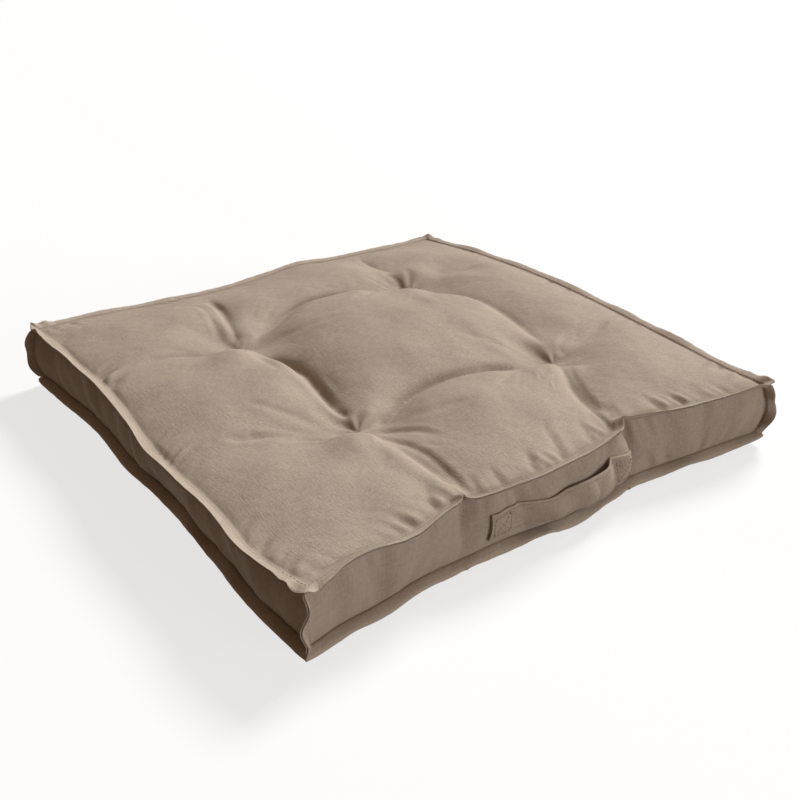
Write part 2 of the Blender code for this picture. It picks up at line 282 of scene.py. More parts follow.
@dataclass(frozen=True)
class CushionPlan:
    """Sizes of the cushion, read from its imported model.

    Attributes:
        tip: distance of the seam allowances' tips from the middle.
        flange: width of the seam allowances.
        top: height of the top seam.
        bottom: height of the bottom seam.
    """

    tip: float
    flange: float
    top: float
    bottom: float

    @classmethod
    def from_frame(cls) -> "CushionPlan":
        """Reads the sizes from the boxes of the cover's pieces and threads.

        Returns:
            The plan.
        """
        _, panel_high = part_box("top_panel")
        boxing_low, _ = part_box("boxing_front")
        thread_low, thread_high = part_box("top_seam_thread")
        return cls(
            tip=panel_high.x,
            flange=panel_high.x - thread_high.x + SEAM_TO_THREAD,
            top=thread_low.z - THREAD_ABOVE_SEAM,
            bottom=boxing_low.z - BOXING_ABOVE_SEAM,
        )

    @property
    def seam(self) -> float:
        """Distance of a straight seam from the middle."""
        return self.tip - self.flange

    @property
    def middle(self) -> float:
        """Height of the middle of the boxing."""
        return (self.top + self.bottom) / 2

    def tufts(self) -> list[tuple[float, float, float, float]]:
        """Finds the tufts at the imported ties.

        Returns:
            (x, y, height of the top of the tie, height of its underside) of each tuft.
        """
        found = []
        for name in sorted(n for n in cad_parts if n.startswith("tuft_tie_")):
            low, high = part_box(name)
            middle = (low + high) / 2
            found.append((middle.x, middle.y, high.z, low.z))
        return found


# Each row: place along the side, seen from outside with left = -1; how far the seam
# stands out from a straight line (mm); how far it lifts from its level (mm).
SEAM_WANDER: dict[tuple[Side, Level], list[tuple[float, float, float]]] = {
    (Side.FRONT, Level.TOP): [
        (-1.0, 0, 0), (-0.92, -5, 0), (-0.80, -8, 0), (-0.64, -8, 0), (-0.52, -14, 1),
        (-0.455, -20, 1), (-0.425, -25, 4), (-0.39, -21, 0), (-0.32, -14, 0),
        (-0.24, -11, 0), (-0.07, -10, 1), (0.08, -14, 0), (0.18, -19, 0),
        (0.25, -24, 0), (0.275, -25, 1), (0.30, -33, 4), (0.325, -35, 5), (0.36, -32, 3),
        (0.42, -29, 1), (0.56, -21, 1), (0.72, -12, 1), (0.86, -4, 0),
        (1.0, 0, 0),
    ],
    (Side.FRONT, Level.BOTTOM): [
        (-1.0, 0, 0), (-0.90, -6, 0), (-0.75, -8, 1), (-0.55, -15, 1), (-0.40, -15, 0),
        (-0.25, -14, 1), (-0.10, -9, 1), (0.05, -8, 0), (0.20, -12, 1), (0.38, -18, 1),
        (0.45, -18, 0), (0.64, -10, 1), (0.84, -4, 2), (1.0, 0, 0),
    ],
    (Side.RIGHT, Level.TOP): [
        (-1.0, 0, 0), (-0.86, -1, 1), (-0.65, 2, 3), (-0.38, 6, 6), (-0.08, 10, 9),
        (0.23, 12, 10), (0.55, 10, 8), (0.80, 6, 4), (1.0, 0, 0),
    ],
    (Side.RIGHT, Level.BOTTOM): [
        (-1.0, 0, 0), (-0.8, -6, 1), (-0.5, -3, 2), (-0.2, -8, 1), (0.1, -4, 2),
        (0.4, -9, 1), (0.7, -4, 1), (1.0, 0, 0),
    ],
    (Side.BACK, Level.TOP): [
        (-1.0, 0, 0), (-0.82, -2, 0), (-0.64, -2, 1), (-0.41, 0, 2), (-0.23, 3, 4),
        (0.02, -6, 1), (0.27, -10, 0), (0.49, -6, 0), (0.66, -2, 1), (0.82, 1, 1),
        (1.0, 0, 0),
    ],
    (Side.BACK, Level.BOTTOM): [
        (-1.0, 0, 0), (-0.8, -5, 1), (-0.45, -10, 1), (-0.1, -5, 1), (0.25, -10, 2),
        (0.6, -7, 1), (0.85, -3, 0), (1.0, 0, 0),
    ],
    (Side.LEFT, Level.TOP): [
        (-1.0, 0, 0), (-0.85, -4, 0), (-0.62, -3, 0), (-0.40, -6, 0), (-0.18, -2, 0),
        (0.03, 5, -1), (0.27, 8, -2), (0.46, 6, -2), (0.62, 8, -2), (0.77, 11, -3),
        (0.90, 6, -2), (1.0, 0, 0),
    ],
    (Side.LEFT, Level.BOTTOM): [
        (-1.0, 0, 0), (-0.8, -4, 0), (-0.5, -9, 1), (-0.2, -4, 1), (0.15, -7, 1),
        (0.5, -2, 0), (0.75, 2, 0), (0.9, 1, 0), (1.0, 0, 0),
    ],
}


class SeamLine:
    """One of the two seams, as points in a loop from the front left corner."""

    def __init__(self, plan: CushionPlan, level: Level, cells: int) -> None:
        """Lays the seam out.

        Args:
            plan: the cushion's sizes.
            level: which of the two seams.
            cells: points along one side.
        """
        height = plan.top if level is Level.TOP else plan.bottom
        shares = np.linspace(-1, 1, cells + 1)[:-1]
        runs = []
        for side in Side:
            wander = through_knots(SEAM_WANDER[side, level], shares) / 1000
            run = np.stack(
                [
                    shares * plan.seam,
                    -plan.seam - wander[:, 0],
                    height + wander[:, 1],
                ],
                axis=1,
            )
            runs.append(turned(run, side.value))
        self.points = np.concatenate(runs)
        tangent = np.roll(self.points, -1, axis=0) - np.roll(self.points, 1, axis=0)
        normal = np.stack([tangent[:, 1], -tangent[:, 0], 0 * tangent[:, 0]], axis=1)
        normal /= np.linalg.norm(normal, axis=1, keepdims=True)
        straight = np.repeat(STRAIGHT_OUT, cells, axis=0)
        corner = np.arange(4) * cells
        normal[corner] = straight[corner] + np.roll(straight, 1, axis=0)[corner]
        self.outward = normal


# ---- folds --------------------------------------------------------------------------


class Ripple:
    """A smooth, irregular wave made of many sine waves."""

    def __init__(self, seed: int, shortest: float, longest: float, waves: int = 12) -> None:
        """Draws the waves.

        Args:
            seed: seed of the random draws.
            shortest: shortest wavelength, in metres.
            longest: longest wavelength, in metres.
            waves: how many sine waves are added.
        """
        draw = np.random.default_rng(seed)
        length = shortest * (longest / shortest) ** draw.random(waves)
        angle = draw.random(waves) * 2 * math.pi
        self.turn = 2 * math.pi / length
        self.direction = np.stack([np.cos(angle), np.sin(angle)])
        self.phase = draw.random(waves) * 2 * math.pi
        self.scale = math.sqrt(2 / waves)

    def along(self, place: np.ndarray) -> np.ndarray:
        """The wave along a line, mostly between -1.5 and 1.5."""
        return self.scale * np.sin(place[..., None] * self.turn + self.phase).sum(axis=-1)

    def over(self, plan: np.ndarray) -> np.ndarray:
        """The wave over a plane, mostly between -1.5 and 1.5."""
        place = plan[..., :2] @ self.direction
        return self.scale * np.sin(place * self.turn + self.phase).sum(axis=-1)


@dataclass(frozen=True)
class Fold:
    """A valley in the cloth along a path, with the ridge it throws up beside it.

    Attributes:
        path: the path in plan, in millimetres.
        depth: depth of the valley, in millimetres.
        width: distance over which each bank rises, in millimetres.
        ridge: height of the ridge on the left of the path, in millimetres.
        fade_in: share of the path over which the fold starts.
        fade_out: share of the path over which the fold ends.
        sharpness: 1 for a cut V, 2 for a rounded trough.
        lean: how much steeper the right bank is than the left one, from -1 to 1.
    """

    path: tuple[tuple[float, float], ...]
    depth: float
    width: float
    ridge: float = 0.0
    fade_in: float = 0.1
    fade_out: float = 0.35
    sharpness: float = 1.2
    lean: float = 0.0

    def height(self, plan: np.ndarray) -> np.ndarray:
        """Height that the fold adds at each point, in metres.

        Args:
            plan: points in plan, in metres, in an array of any shape.

        Returns:
            One height for each point.
        """
        knots = np.array(self.path) / 1000
        rows = np.column_stack([np.linspace(0, 1, len(knots)), knots])
        shares = np.linspace(0, 1, FOLD_SAMPLES)
        line = through_knots([tuple(row) for row in rows], shares)
        tangent = np.gradient(line, axis=0)
        tangent /= np.linalg.norm(tangent, axis=1, keepdims=True)
        flat = plan[..., :2].reshape(-1, 2)
        reach = FOLD_REACH * self.width / 1000
        low, high = line.min(axis=0) - reach, line.max(axis=0) + reach
        near = np.nonzero(((flat > low) & (flat < high)).all(axis=1))[0]
        gap = flat[near][:, None] - line[None]
        nearest = np.argmin((gap**2).sum(axis=2), axis=1)
        gap = gap[np.arange(len(near)), nearest]
        way = tangent[nearest]
        away = np.linalg.norm(gap, axis=1) / (self.width / 1000)
        left = np.sign(way[:, 0] * gap[:, 1] - way[:, 1] * gap[:, 0]) * away
        share = shares[nearest]
        strength = smooth_step(share / max(self.fade_in, 1e-6)) if self.fade_in else 1.0
        strength = strength * smooth_step((1 - share) / max(self.fade_out, 1e-6))
        bank_width = 1 + self.lean * np.tanh(4 * left)
        trough = -self.depth * np.exp(-((away / bank_width) ** self.sharpness))
        bank = self.ridge * np.exp(-(((left - 1.5) / 0.8) ** 2))
        out = np.zeros(len(flat))
        out[near] = strength * (trough + bank) / 1000
        return out.reshape(plan.shape[:-1])


# Valleys between the tufts and out to the seams.
VALLEYS = (
    Fold(((-125, -123), (-124, -78), (-112, -30), (-104, 28), (-114, 66), (-125, 104)),
         16, 23, fade_in=0, fade_out=0.001, lean=-0.40),
    Fold(((-125, -123), (-88, -122), (-50, -106), (4, -100), (66, -110), (104, -122), (138, -123)),
         12, 20, fade_in=0, fade_out=0.001, lean=0.35),
    Fold(((-125, 104), (-105, 106), (-70, 128), (-15, 156), (50, 156), (105, 138), (138, 132)),
         12, 21, fade_in=0, fade_out=0.001, lean=0.35),
    Fold(((138, 132), (158, 100), (168, 49), (166, -25), (152, -88), (138, -123)),
         10, 25, fade_in=0, fade_out=0.001, lean=0.3),
    Fold(((-125, -123), (-118, -175), (-113, -225), (-114, -278)), 6, 18, fade_in=0),
    Fold(((-125, -123), (-175, -104), (-215, -84), (-262, -70)), 8, 26, fade_in=0),
    Fold(((-125, 104), (-175, 110), (-215, 124), (-265, 120)), 7, 24, fade_in=0),
    Fold(((-125, 104), (-112, 150), (-98, 205), (-100, 262)), 6, 18, fade_in=0),
    Fold(((138, 132), (145, 185), (140, 225), (150, 270)), 8, 22, fade_in=0),
    Fold(((138, 132), (190, 140), (230, 130), (275, 140)), 7, 26, fade_in=0),
    Fold(((138, -123), (190, -110), (235, -100), (280, -80)), 8, 26, fade_in=0),
    Fold(((138, -123), (112, -170), (96, -212), (86, -262)), 10, 20, fade_in=0, fade_out=0.12),
)


def valley_depth(plan: np.ndarray) -> np.ndarray:
    """Height of the valleys together; where valleys meet they deepen each other a little.

    Args:
        plan: points in plan, in metres, in an array of any shape.

    Returns:
        One height, zero or below, for each point.
    """
    together = sum(np.abs(valley.height(plan)) ** 3 for valley in VALLEYS)
    return -np.cbrt(together)


# Creases pressed into the filled top.
CREASES = (
    Fold(((-122, -110), (-121, -78), (-110, -30), (-103, 24), (-112, 62), (-123, 92)),
         5.0, 5.0, 0.8, 0.15, 0.25, 1.4, -0.4),
    Fold(((-104, -72), (-97, -40), (-90, -5)), 0.8, 4.0, 0.3, 0.4, 0.4, 1.5),
    Fold(((-110, -126), (-86, -121), (-50, -105), (4, -99), (66, -109), (104, -121)),
         5.0, 4.0, -0.8, 0.15, 0.3, 1.3, 0.35),
    Fold(((-112, 106), (-70, 128), (-15, 156), (50, 157), (96, 142)),
         5.2, 4.6, 0.0, 0.12, 0.3, 1.3, 0.4),
    Fold(((138, 118), (158, 96), (169, 49), (167, -25), (152, -88), (140, -112)),
         1.6, 7.0, 0.0, 0.3, 0.3, 1.6),
    Fold(((-124, 118), (-113, 150), (-98, 205), (-104, 240)), 2.8, 5.0, 0.8, 0.1, 0.2, 1.4),
    Fold(((-138, 128), (-128, 160), (-117, 205), (-124, 236)), 1.5, 4.5, 0.5, 0.3, 0.3, 1.4),
    Fold(((-122, -138), (-110, -166), (-104, -200), (-106, -240), (-109, -276)),
         2.8, 4.5, 0.6, 0.1, 0.2, 1.4),
    Fold(((-112, -134), (-94, -150), (-80, -172), (-72, -204)), 2.0, 4.5, 0.8, 0.15, 0.5, 1.4),
    Fold(((-140, -126), (-162, -122), (-182, -108), (-206, -104)), 2.2, 4.5, 1.2, 0.25, 0.5, 1.4),
    Fold(((-140, 100), (-165, 100), (-190, 118), (-214, 130)), 1.6, 5.0, 0.8, 0.25, 0.5, 1.5),
    Fold(((136, -136), (118, -164), (100, -200), (88, -236), (82, -270)),
         5.0, 5.0, -1.8, 0.05, 0.05, 1.3),
    Fold(((108, -222), (98, -246), (88, -270)), 3.0, 4.0, -1.2, 0.3, 0.1, 1.4),
    Fold(((152, -118), (180, -100), (212, -92)), 2.0, 5.5, 1.0, 0.1, 0.6, 1.5),
    Fold(((136, 146), (138, 168), (134, 196)), 1.8, 4.4, 0.6, 0.1, 0.5, 1.4),
    Fold(((146, 144), (158, 164), (164, 186)), 1.4, 4.4, 0.5, 0.1, 0.5, 1.4),
    Fold(((126, 142), (112, 160), (100, 182)), 1.8, 3.6, 0.8, 0.1, 0.5, 1.4),
    Fold(((22, -214), (12, -244), (4, -266), (-2, -282)), 1.7, 5.6, 0.7, 0.4, 0.1, 1.4),
    Fold(((-22, -244), (-32, -264), (-38, -282)), 1.7, 5.0, 0.7, 0.4, 0.1, 1.4),
    Fold(((-70, -246), (-74, -264), (-76, -282)), 1.6, 4.5, 0.6, 0.4, 0.1, 1.4),
    Fold(((-92, -246), (-98, -262), (-100, -280)), 1.4, 4.2, 0.6, 0.4, 0.1, 1.4),
    Fold(((-136, -234), (-146, -258), (-150, -280)), 1.4, 5.0, 0.6, 0.4, 0.1, 1.4),
    Fold(((60, -226), (52, -252), (44, -280)), 1.3, 5.6, 0.6, 0.5, 0.1, 1.4),
    Fold(((150, -232), (150, -256), (154, -280)), 1.3, 5.6, 0.6, 0.5, 0.1, 1.4),
    Fold(((206, -240), (214, -262), (220, -284)), 1.2, 5.6, 0.5, 0.5, 0.1, 1.4),
)


# ---- filling the cover --------------------------------------------------------------


@dataclass
class FilledCover:
    """The sewn cover, filled and tufted by a cloth simulation.

    Attributes:
        plan: the cushion's sizes.
        cells: cells along one side of a panel.
        wall_rows: rows of cells up the boxing.
        ease: how much larger the cloth is cut than it is sewn.
        pressure: how hard the filling pushes.
        frames: steps of the simulation.
        most_travel: how far the filling may move any point, in metres.
        crown: how far the top is full before it is filled, in metres.
        belly: how far the underside is, in metres.
        shoulder: how square the fullness is in plan.
        left_shoulder: the same for the softer left half.
        tuft_spread: distance over which a tuft draws the cloth down, in metres.
        gathered: distance over which a tuft gathers the cloth, in metres.
        tie_bite: how far within the ends of its tie a tuft is held, in metres.
        wall_swell: how far the boxing swells before it is filled, in metres.
        wall_cut: cut height of the boxing between its seams, in metres.
        top_grid: points of the top panel.
        bottom_grid: points of the bottom panel.
        wall: points of the boxing, from the bottom seam to the top seam.
    """

    plan: CushionPlan
    cells: int = 120
    wall_rows: int = 12
    ease: float = 1.03
    pressure: float = 5.0
    frames: int = 24
    most_travel: float = 0.010
    crown: float = 0.0213
    belly: float = 0.011
    shoulder: float = 3.8
    left_shoulder: float = 3.0
    tuft_spread: float = 0.032
    gathered: float = 0.013
    tie_bite: float = 0.0028
    wall_swell: float = 0.006
    wall_cut: float = 0.065
    top_grid: np.ndarray = field(init=False)
    bottom_grid: np.ndarray = field(init=False)
    wall: np.ndarray = field(init=False)

    def __post_init__(self) -> None:
        """Lays out the seams and the start and runs the filling."""
        self.top_seam = SeamLine(self.plan, Level.TOP, self.cells)
        self.bottom_seam = SeamLine(self.plan, Level.BOTTOM, self.cells)
        self.ring = self.border(self.cells)
        self._lay_out()
        self._fill()

    @staticmethod
    def border(cells: int) -> np.ndarray:
        """Numbers the points on a grid's border.

        Args:
            cells: cells along one side of the grid.

        Returns:
            Rows of (i, j), in the order of the seam's points.
        """
        run = np.arange(cells)
        full, none = np.full(cells, cells), np.zeros(cells, int)
        front = np.stack([run, none], axis=1)
        right = np.stack([full, run], axis=1)
        back = np.stack([cells - run, full], axis=1)
        left = np.stack([none, cells - run], axis=1)
        return np.concatenate([front, right, back, left])

    def _patch(self, seam: SeamLine) -> np.ndarray:
        """Stretches a grid of points over a seam, by Coons' rule.

        Args:
            seam: the seam that holds the grid's border.

        Returns:
            The grid.
        """
        n = self.cells
        edge = np.zeros((n + 1, n + 1, 3))
        edge[self.ring[:, 0], self.ring[:, 1]] = seam.points
        u = np.linspace(0, 1, n + 1)[:, None, None]
        v = np.linspace(0, 1, n + 1)[None, :, None]
        between_sides = (1 - v) * edge[:, :1] + v * edge[:, -1:]
        between_ends = (1 - u) * edge[:1] + u * edge[-1:]
        corners = (
            (1 - u) * (1 - v) * edge[0, 0]
            + u * (1 - v) * edge[-1, 0]
            + (1 - u) * v * edge[0, -1]
            + u * v * edge[-1, -1]
        )
        return between_sides + between_ends - corners

    def _tuft(self, grid: np.ndarray, place: tuple[float, float], height: float) -> np.ndarray:
        """Draws a grid down to a tuft and gathers it there.

        Args:
            grid: the grid, changed in place.
            place: x and y of the tuft.
            height: height to which the tuft is drawn.

        Returns:
            A mask of the points that the tuft holds.
        """
        gap = grid[..., :2] - np.array(place)
        away = np.linalg.norm(gap, axis=-1)
        weight = 0.78 * np.exp(-((away / self.tuft_spread) ** 1.15))
        weight += 0.22 * np.exp(-((away / (1.9 * self.tuft_spread)) ** 2))
        grid[..., 2] += weight * (height - grid[..., 2])
        squeeze = 1 - 0.52 * np.exp(-((away / (1.5 * self.gathered)) ** 2))
        grid[..., :2] = np.array(place) + gap * squeeze[..., None]
        return away < 0.7 * self.gathered

    def _lay_out(self) -> None:
        """Start shape, flat cut shape and held points of the whole cover."""
        plan, n, rows = self.plan, self.cells, self.wall_rows
        share = np.linspace(-1, 1, n + 1)
        u, v = np.meshgrid(share, share, indexing="ij")
        fall = np.where(u < 0, self.left_shoulder, self.shoulder)
        shoulder = (1 - np.abs(u) ** fall) * (1 - np.abs(v) ** self.shoulder)
        dome = (1 - u**2) * (1 - v**2)
        full = shoulder**0.72 * (0.76 + 0.24 * dome)
        self.top_grid = self._patch(self.top_seam)
        self.bottom_grid = self._patch(self.bottom_seam)
        self.top_grid[..., 2] += self.crown * full
        held_back = smooth_step(shoulder * 1.6)
        self.top_grid[..., 2] += valley_depth(self.top_grid) * held_back
        self.bottom_grid[..., 2] -= self.belly * shoulder**0.7
        self.pinned_top = np.zeros((n + 1, n + 1), bool)
        self.pinned_bottom = np.zeros((n + 1, n + 1), bool)
        for x, y, high, low in plan.tufts():
            self.pinned_top |= self._tuft(self.top_grid, (x, y), high - self.tie_bite)
            self.pinned_bottom |= self._tuft(self.bottom_grid, (x, y), low + self.tie_bite)
        levels = np.linspace(0, 1, rows + 1)[:, None, None]
        self.wall = (1 - levels) * self.bottom_seam.points + levels * self.top_seam.points
        swell = self.wall_swell * 4 * (levels * (1 - levels))
        self.wall = self.wall + swell * self.top_seam.outward[None]
        cut = plan.seam * self.ease
        self.flat_top = np.stack([u * cut, v * cut, 0 * u + plan.top], axis=2)
        self.flat_bottom = np.stack([u * cut, v * cut, 0 * u + plan.bottom], axis=2)
        ring_flat = self.flat_top[self.ring[:, 0], self.ring[:, 1]]
        half = self.wall_cut / 2
        heights = np.linspace(plan.middle - half, plan.middle + half, rows + 1)
        self.flat_wall = np.tile(ring_flat, (rows + 1, 1, 1))
        self.flat_wall[..., 2] = heights[:, None]

    def _sewn(self, top: np.ndarray, bottom: np.ndarray, wall: np.ndarray) -> np.ndarray:
        """All points of the closed cover, in one list.

        Args:
            top: grid of the top panel.
            bottom: grid of the bottom panel.
            wall: rows of the boxing.

        Returns:
            Points of the top, of the bottom and of the boxing's inner rows.
        """
        inner = wall[1:-1].reshape(-1, 3)
        return np.concatenate([top.reshape(-1, 3), bottom.reshape(-1, 3), inner])

    def _faces(self) -> np.ndarray:
        """Joins the points of the closed cover.

        Returns:
            Its faces, as rows of point numbers.
        """
        n, rows = self.cells, self.wall_rows
        count = (n + 1) ** 2
        top = grid_faces(n + 1, n + 1)
        bottom = grid_faces(n + 1, n + 1)[:, ::-1] + count
        ring = self.ring[:, 0] * (n + 1) + self.ring[:, 1]
        loops = [ring + count]
        loops += [2 * count + row * len(ring) + np.arange(len(ring)) for row in range(rows - 1)]
        loops += [ring]
        walls = [band(low, high) for low, high in zip(loops, loops[1:])]
        return np.concatenate([top, bottom, *walls])

    def _held(self) -> list[int]:
        """Numbers the points that the seams and the tufts hold.

        Returns:
            Their numbers among all points of the closed cover.
        """
        n = self.cells
        border = np.zeros((n + 1, n + 1), bool)
        border[self.ring[:, 0], self.ring[:, 1]] = True
        held_top = np.nonzero((self.pinned_top | border).ravel())[0]
        held_bottom = np.nonzero((self.pinned_bottom | border).ravel())[0] + border.size
        return np.concatenate([held_top, held_bottom]).tolist()

    def _blown_up(self, start: np.ndarray, flat: np.ndarray) -> np.ndarray:
        """Runs the cloth simulation.

        Args:
            start: all points as they start.
            flat: the same points on the cut cloth, which sets their distances.

        Returns:
            The points where they settle.
        """
        data = bpy.data.meshes.new("filling_up")
        data.from_pydata(start.tolist(), [], self._faces().tolist())
        obj = linked("filling_up", data)
        scene = bpy.context.scene
        obj.shape_key_add(name="Basis")
        cut = obj.shape_key_add(name="cut")
        cut.data.foreach_set("co", flat.astype(np.float32).ravel())
        obj.vertex_groups.new(name="held").add(self._held(), 1.0, "REPLACE")
        cloth = obj.modifiers.new("filling", "CLOTH")
        settings = cloth.settings
        for name, value in CLOTH_BEHAVIOUR.items():
            setattr(settings, name, value)
        settings.vertex_group_mass = "held"
        settings.rest_shape_key = cut
        settings.use_pressure = True
        settings.uniform_pressure_force = self.pressure
        settings.effector_weights.gravity = 0
        cloth.collision_settings.use_collision = False
        cloth.point_cache.frame_start = 1
        cloth.point_cache.frame_end = self.frames
        for step in range(1, self.frames + 1):
            scene.frame_set(step)
        evaluated = obj.evaluated_get(bpy.context.evaluated_depsgraph_get())
        settled = np.empty(len(start) * 3, np.float32)
        evaluated.to_mesh().vertices.foreach_get("co", settled)
        evaluated.to_mesh_clear()
        bpy.data.objects.remove(obj, do_unlink=True)
        scene.frame_set(1)
        return settled.reshape(-1, 3).astype(float)

    def _fill(self) -> None:
        """Blows the cover up against its seams and tufts, and keeps where it settles."""
        n, rows = self.cells, self.wall_rows
        start = self._sewn(self.top_grid, self.bottom_grid, self.wall)
        flat = self._sewn(self.flat_top, self.flat_bottom, self.flat_wall)
        travel = self._blown_up(start, flat) - start
        length = np.linalg.norm(travel, axis=1, keepdims=True)
        LOG.info(
            "filling moved the cloth by %.1f mm at most, %.1f mm in the middle of the range",
            1000 * length.max(),
            1000 * np.median(length),
        )
        kept = start + travel * np.minimum(1, self.most_travel / np.maximum(length, 1e-9))
        count = (n + 1) ** 2
        self.top_grid = kept[:count].reshape(n + 1, n + 1, 3)
        self.bottom_grid = kept[count : 2 * count].reshape(n + 1, n + 1, 3)
        self.wall[1:-1] = kept[2 * count :].reshape(rows - 1, -1, 3)
        self.bottom_grid[..., 2] = np.maximum(self.bottom_grid[..., 2], 0)


@dataclass
class FinishedCover:
    """The filled cover at its final fineness, with creases, puckers and seam allowances.

    Attributes:
        filled: the cover as the filling leaves it.
        ply: thickness of one ply of cloth, in metres.
        ply_rise: distance of a ply's outer face from its seam, in plies.
        floor_gap: least height of the bottom allowance's lower ply, in metres.
        ply_step: least height of its upper ply over the lower one, in metres.
        deepening: share of the valleys' depth that is pressed in once more.
        calm: distance from a tuft over which nothing is deepened, in metres.
        tie_cover: cloth over the end of a tie, in metres.
        pit_reach: how far the pit of a tuft reaches, in metres.
        pit_lean: direction in which the pits lie open, in radians from +X.
        fan_slope: rise of the cloth that is drawn taut beyond a tuft.
        fan_angle: half of the angle that this cloth takes up, in radians.
        fan_reach: how far it reaches, in metres.
        fan_rise: how far it is lifted at most, in metres.
        lip_height: height of the roll of cloth before a tuft, in metres.
        lip_place: distance of its crest from the tuft, in metres.
        lip_back: how fast it falls towards the tuft, in metres.
        lip_front: how fast it falls away from the tuft, in metres.
        lip_across: half of its length, in metres.
        pleat_height: height of the fine pleats round a tuft, in metres.
        pleat_place: distance of their crests from the tuft, in metres.
        pleats: upright pleats of the front boxing, as (x, height, width to the left, width
            to the right, level from which each rises).
        ply_rows: rows of a seam allowance, as (share of its width, share of its thickness).
        gather: share of its width that a seam allowance keeps along the side at a corner.
        tilts: angles of the seam allowance of each side, in degrees, for each seam.
        corner_tilts: angles of the top seam's allowance at the corners, in degrees.
        least_tilt: the lowest angle, in degrees.
        most_tilt: the highest angle, in degrees.
    """

    filled: FilledCover
    ply: float = 0.0012
    ply_rise: float = 1.25
    floor_gap: float = 0.0004
    ply_step: float = 0.0013
    deepening: float = 0.34
    calm: float = 0.040
    tie_cover: float = 0.0014
    pit_reach: float = 0.037
    pit_lean: float = 0.90
    fan_slope: float = 0.42
    fan_angle: float = 0.80
    fan_reach: float = 0.055
    fan_rise: float = 0.010
    lip_height: float = 0.0096
    lip_place: float = 0.0220
    lip_back: float = 0.0105
    lip_front: float = 0.0360
    lip_across: float = 0.0250
    pleat_height: float = 0.0006
    pleat_place: float = 0.012
    pleats: tuple[tuple[float, float, float, float, float], ...] = (
        (0.082, 0.0115, 0.030, 0.0065, -0.2),
        (0.1005, -0.0100, 0.0055, 0.0140, 0.0),
        (-0.062, 0.0020, 0.005, 0.0045, 0.35),
        (-0.055, -0.0020, 0.0045, 0.0045, 0.35),
        (-0.122, -0.0030, 0.008, 0.0080, 0.3),
    )
    ply_rows: tuple[tuple[float, float], ...] = (
        (0.10, 0.55), (0.25, 0.95), (0.45, 1.05), (0.65, 1.05), (0.82, 1.05),
        (0.94, 1.0), (0.985, 0.8), (1.0, 0.5), (0.975, 0.22), (0.90, 0.12), (0.75, 0.10),
    )
    gather: float = 0.80
    tilts: tuple[tuple[float, float, float, float], ...] = (
        (31.0, 6.0, 4.0, 26.0),
        (-20.0, -20.0, -24.0, -33.0),
    )
    corner_tilts: tuple[float, float, float, float] = (-4.0, 22.0, 12.0, 26.0)
    least_tilt: float = -46
    most_tilt: float = 48

    def __post_init__(self) -> None:
        """Refines the filled cover and lays in what the sewing does to it."""
        filled = self.filled
        self.cells = 2 * filled.cells
        self.ring = FilledCover.border(self.cells)
        self.top = doubled(doubled(filled.top_grid, 0), 1)
        self.bottom = doubled(doubled(filled.bottom_grid, 0), 1)
        looped = np.concatenate([filled.wall[:, -2:], filled.wall, filled.wall[:, :3]], axis=1)
        wall = doubled(doubled(looped, 0), 1)
        self.wall = wall[:, 4 : 4 + 4 * self.cells]
        self.top_seam = self.top[self.ring[:, 0], self.ring[:, 1]]
        self.bottom_seam = self.bottom[self.ring[:, 0], self.ring[:, 1]]
        self.wall[0], self.wall[-1] = self.bottom_seam, self.top_seam
        self._deepen_valleys()
        self._draw_tufts()
        self._crease_top()
        self._pucker()
        self._wrinkle_wall()
        self.bottom[..., 2] = np.maximum(self.bottom[..., 2], 0)

    @property
    def step(self) -> float:
        """Distance between neighbouring points along a straight seam."""
        return 2 * self.filled.plan.seam / self.cells

    @property
    def edge_wear(self) -> np.ndarray:
        """How rubbed each row of a seam allowance is, from 0 to 1."""
        return np.array([away**5 for away, _ in self.ply_rows])

    def _run(self, seam: np.ndarray) -> np.ndarray:
        """Distance along a seam from its first corner."""
        step = np.linalg.norm(np.roll(seam, -1, axis=0) - seam, axis=1)
        return np.concatenate([[0.0], np.cumsum(step)[:-1]])

    def _around(self, x: float, y: float) -> tuple[np.ndarray, np.ndarray, np.ndarray]:
        """Measures the top's points from a tuft.

        Args:
            x: the tuft's x.
            y: the tuft's y.

        Returns:
            Level offsets from the tuft, their lengths and their angles from +X.
        """
        gap = self.top[..., :2] - np.array([x, y])
        return gap, np.hypot(gap[..., 0], gap[..., 1]), np.arctan2(gap[..., 1], gap[..., 0])

    def _deepen_valleys(self) -> None:
        """Presses the valleys in once more, clear of the tufts and the seams."""
        deepen = self.deepening * valley_depth(self.top)
        for x, y, _, _ in self.filled.plan.tufts():
            _, away, _ = self._around(x, y)
            deepen *= 1 - np.exp(-((away / self.calm) ** 2))
        self.top[..., 2] += deepen * smooth_step(np.minimum.reduce(self._from_edges()) / 0.03)

    def _draw_tufts(self) -> None:
        """Draws each tuft down, with taut cloth beyond it and a roll of cloth before it."""
        for x, y, tie, _ in self.filled.plan.tufts():
            gap, away, angle = self._around(x, y)
            reach = self.pit_reach * (0.70 + 0.30 * np.cos(angle - self.pit_lean))
            pit = 0.88 * np.exp(-((away / reach) ** 1.45))
            pit = pit + 0.12 * np.exp(-((away / 0.008) ** 2))
            self.top[..., 2] += pit * (tie + self.tie_cover - self.top[..., 2])
            slope = tie + self.tie_cover + self.fan_slope * away
            turn = (angle - self.pit_lean) / self.fan_angle
            beyond = np.exp(-(turn**4) - (away / self.fan_reach) ** 4)
            self.top[..., 2] += beyond * np.clip(slope - self.top[..., 2], 0, self.fan_rise)
            self.top[..., 2] += self._lip(gap)

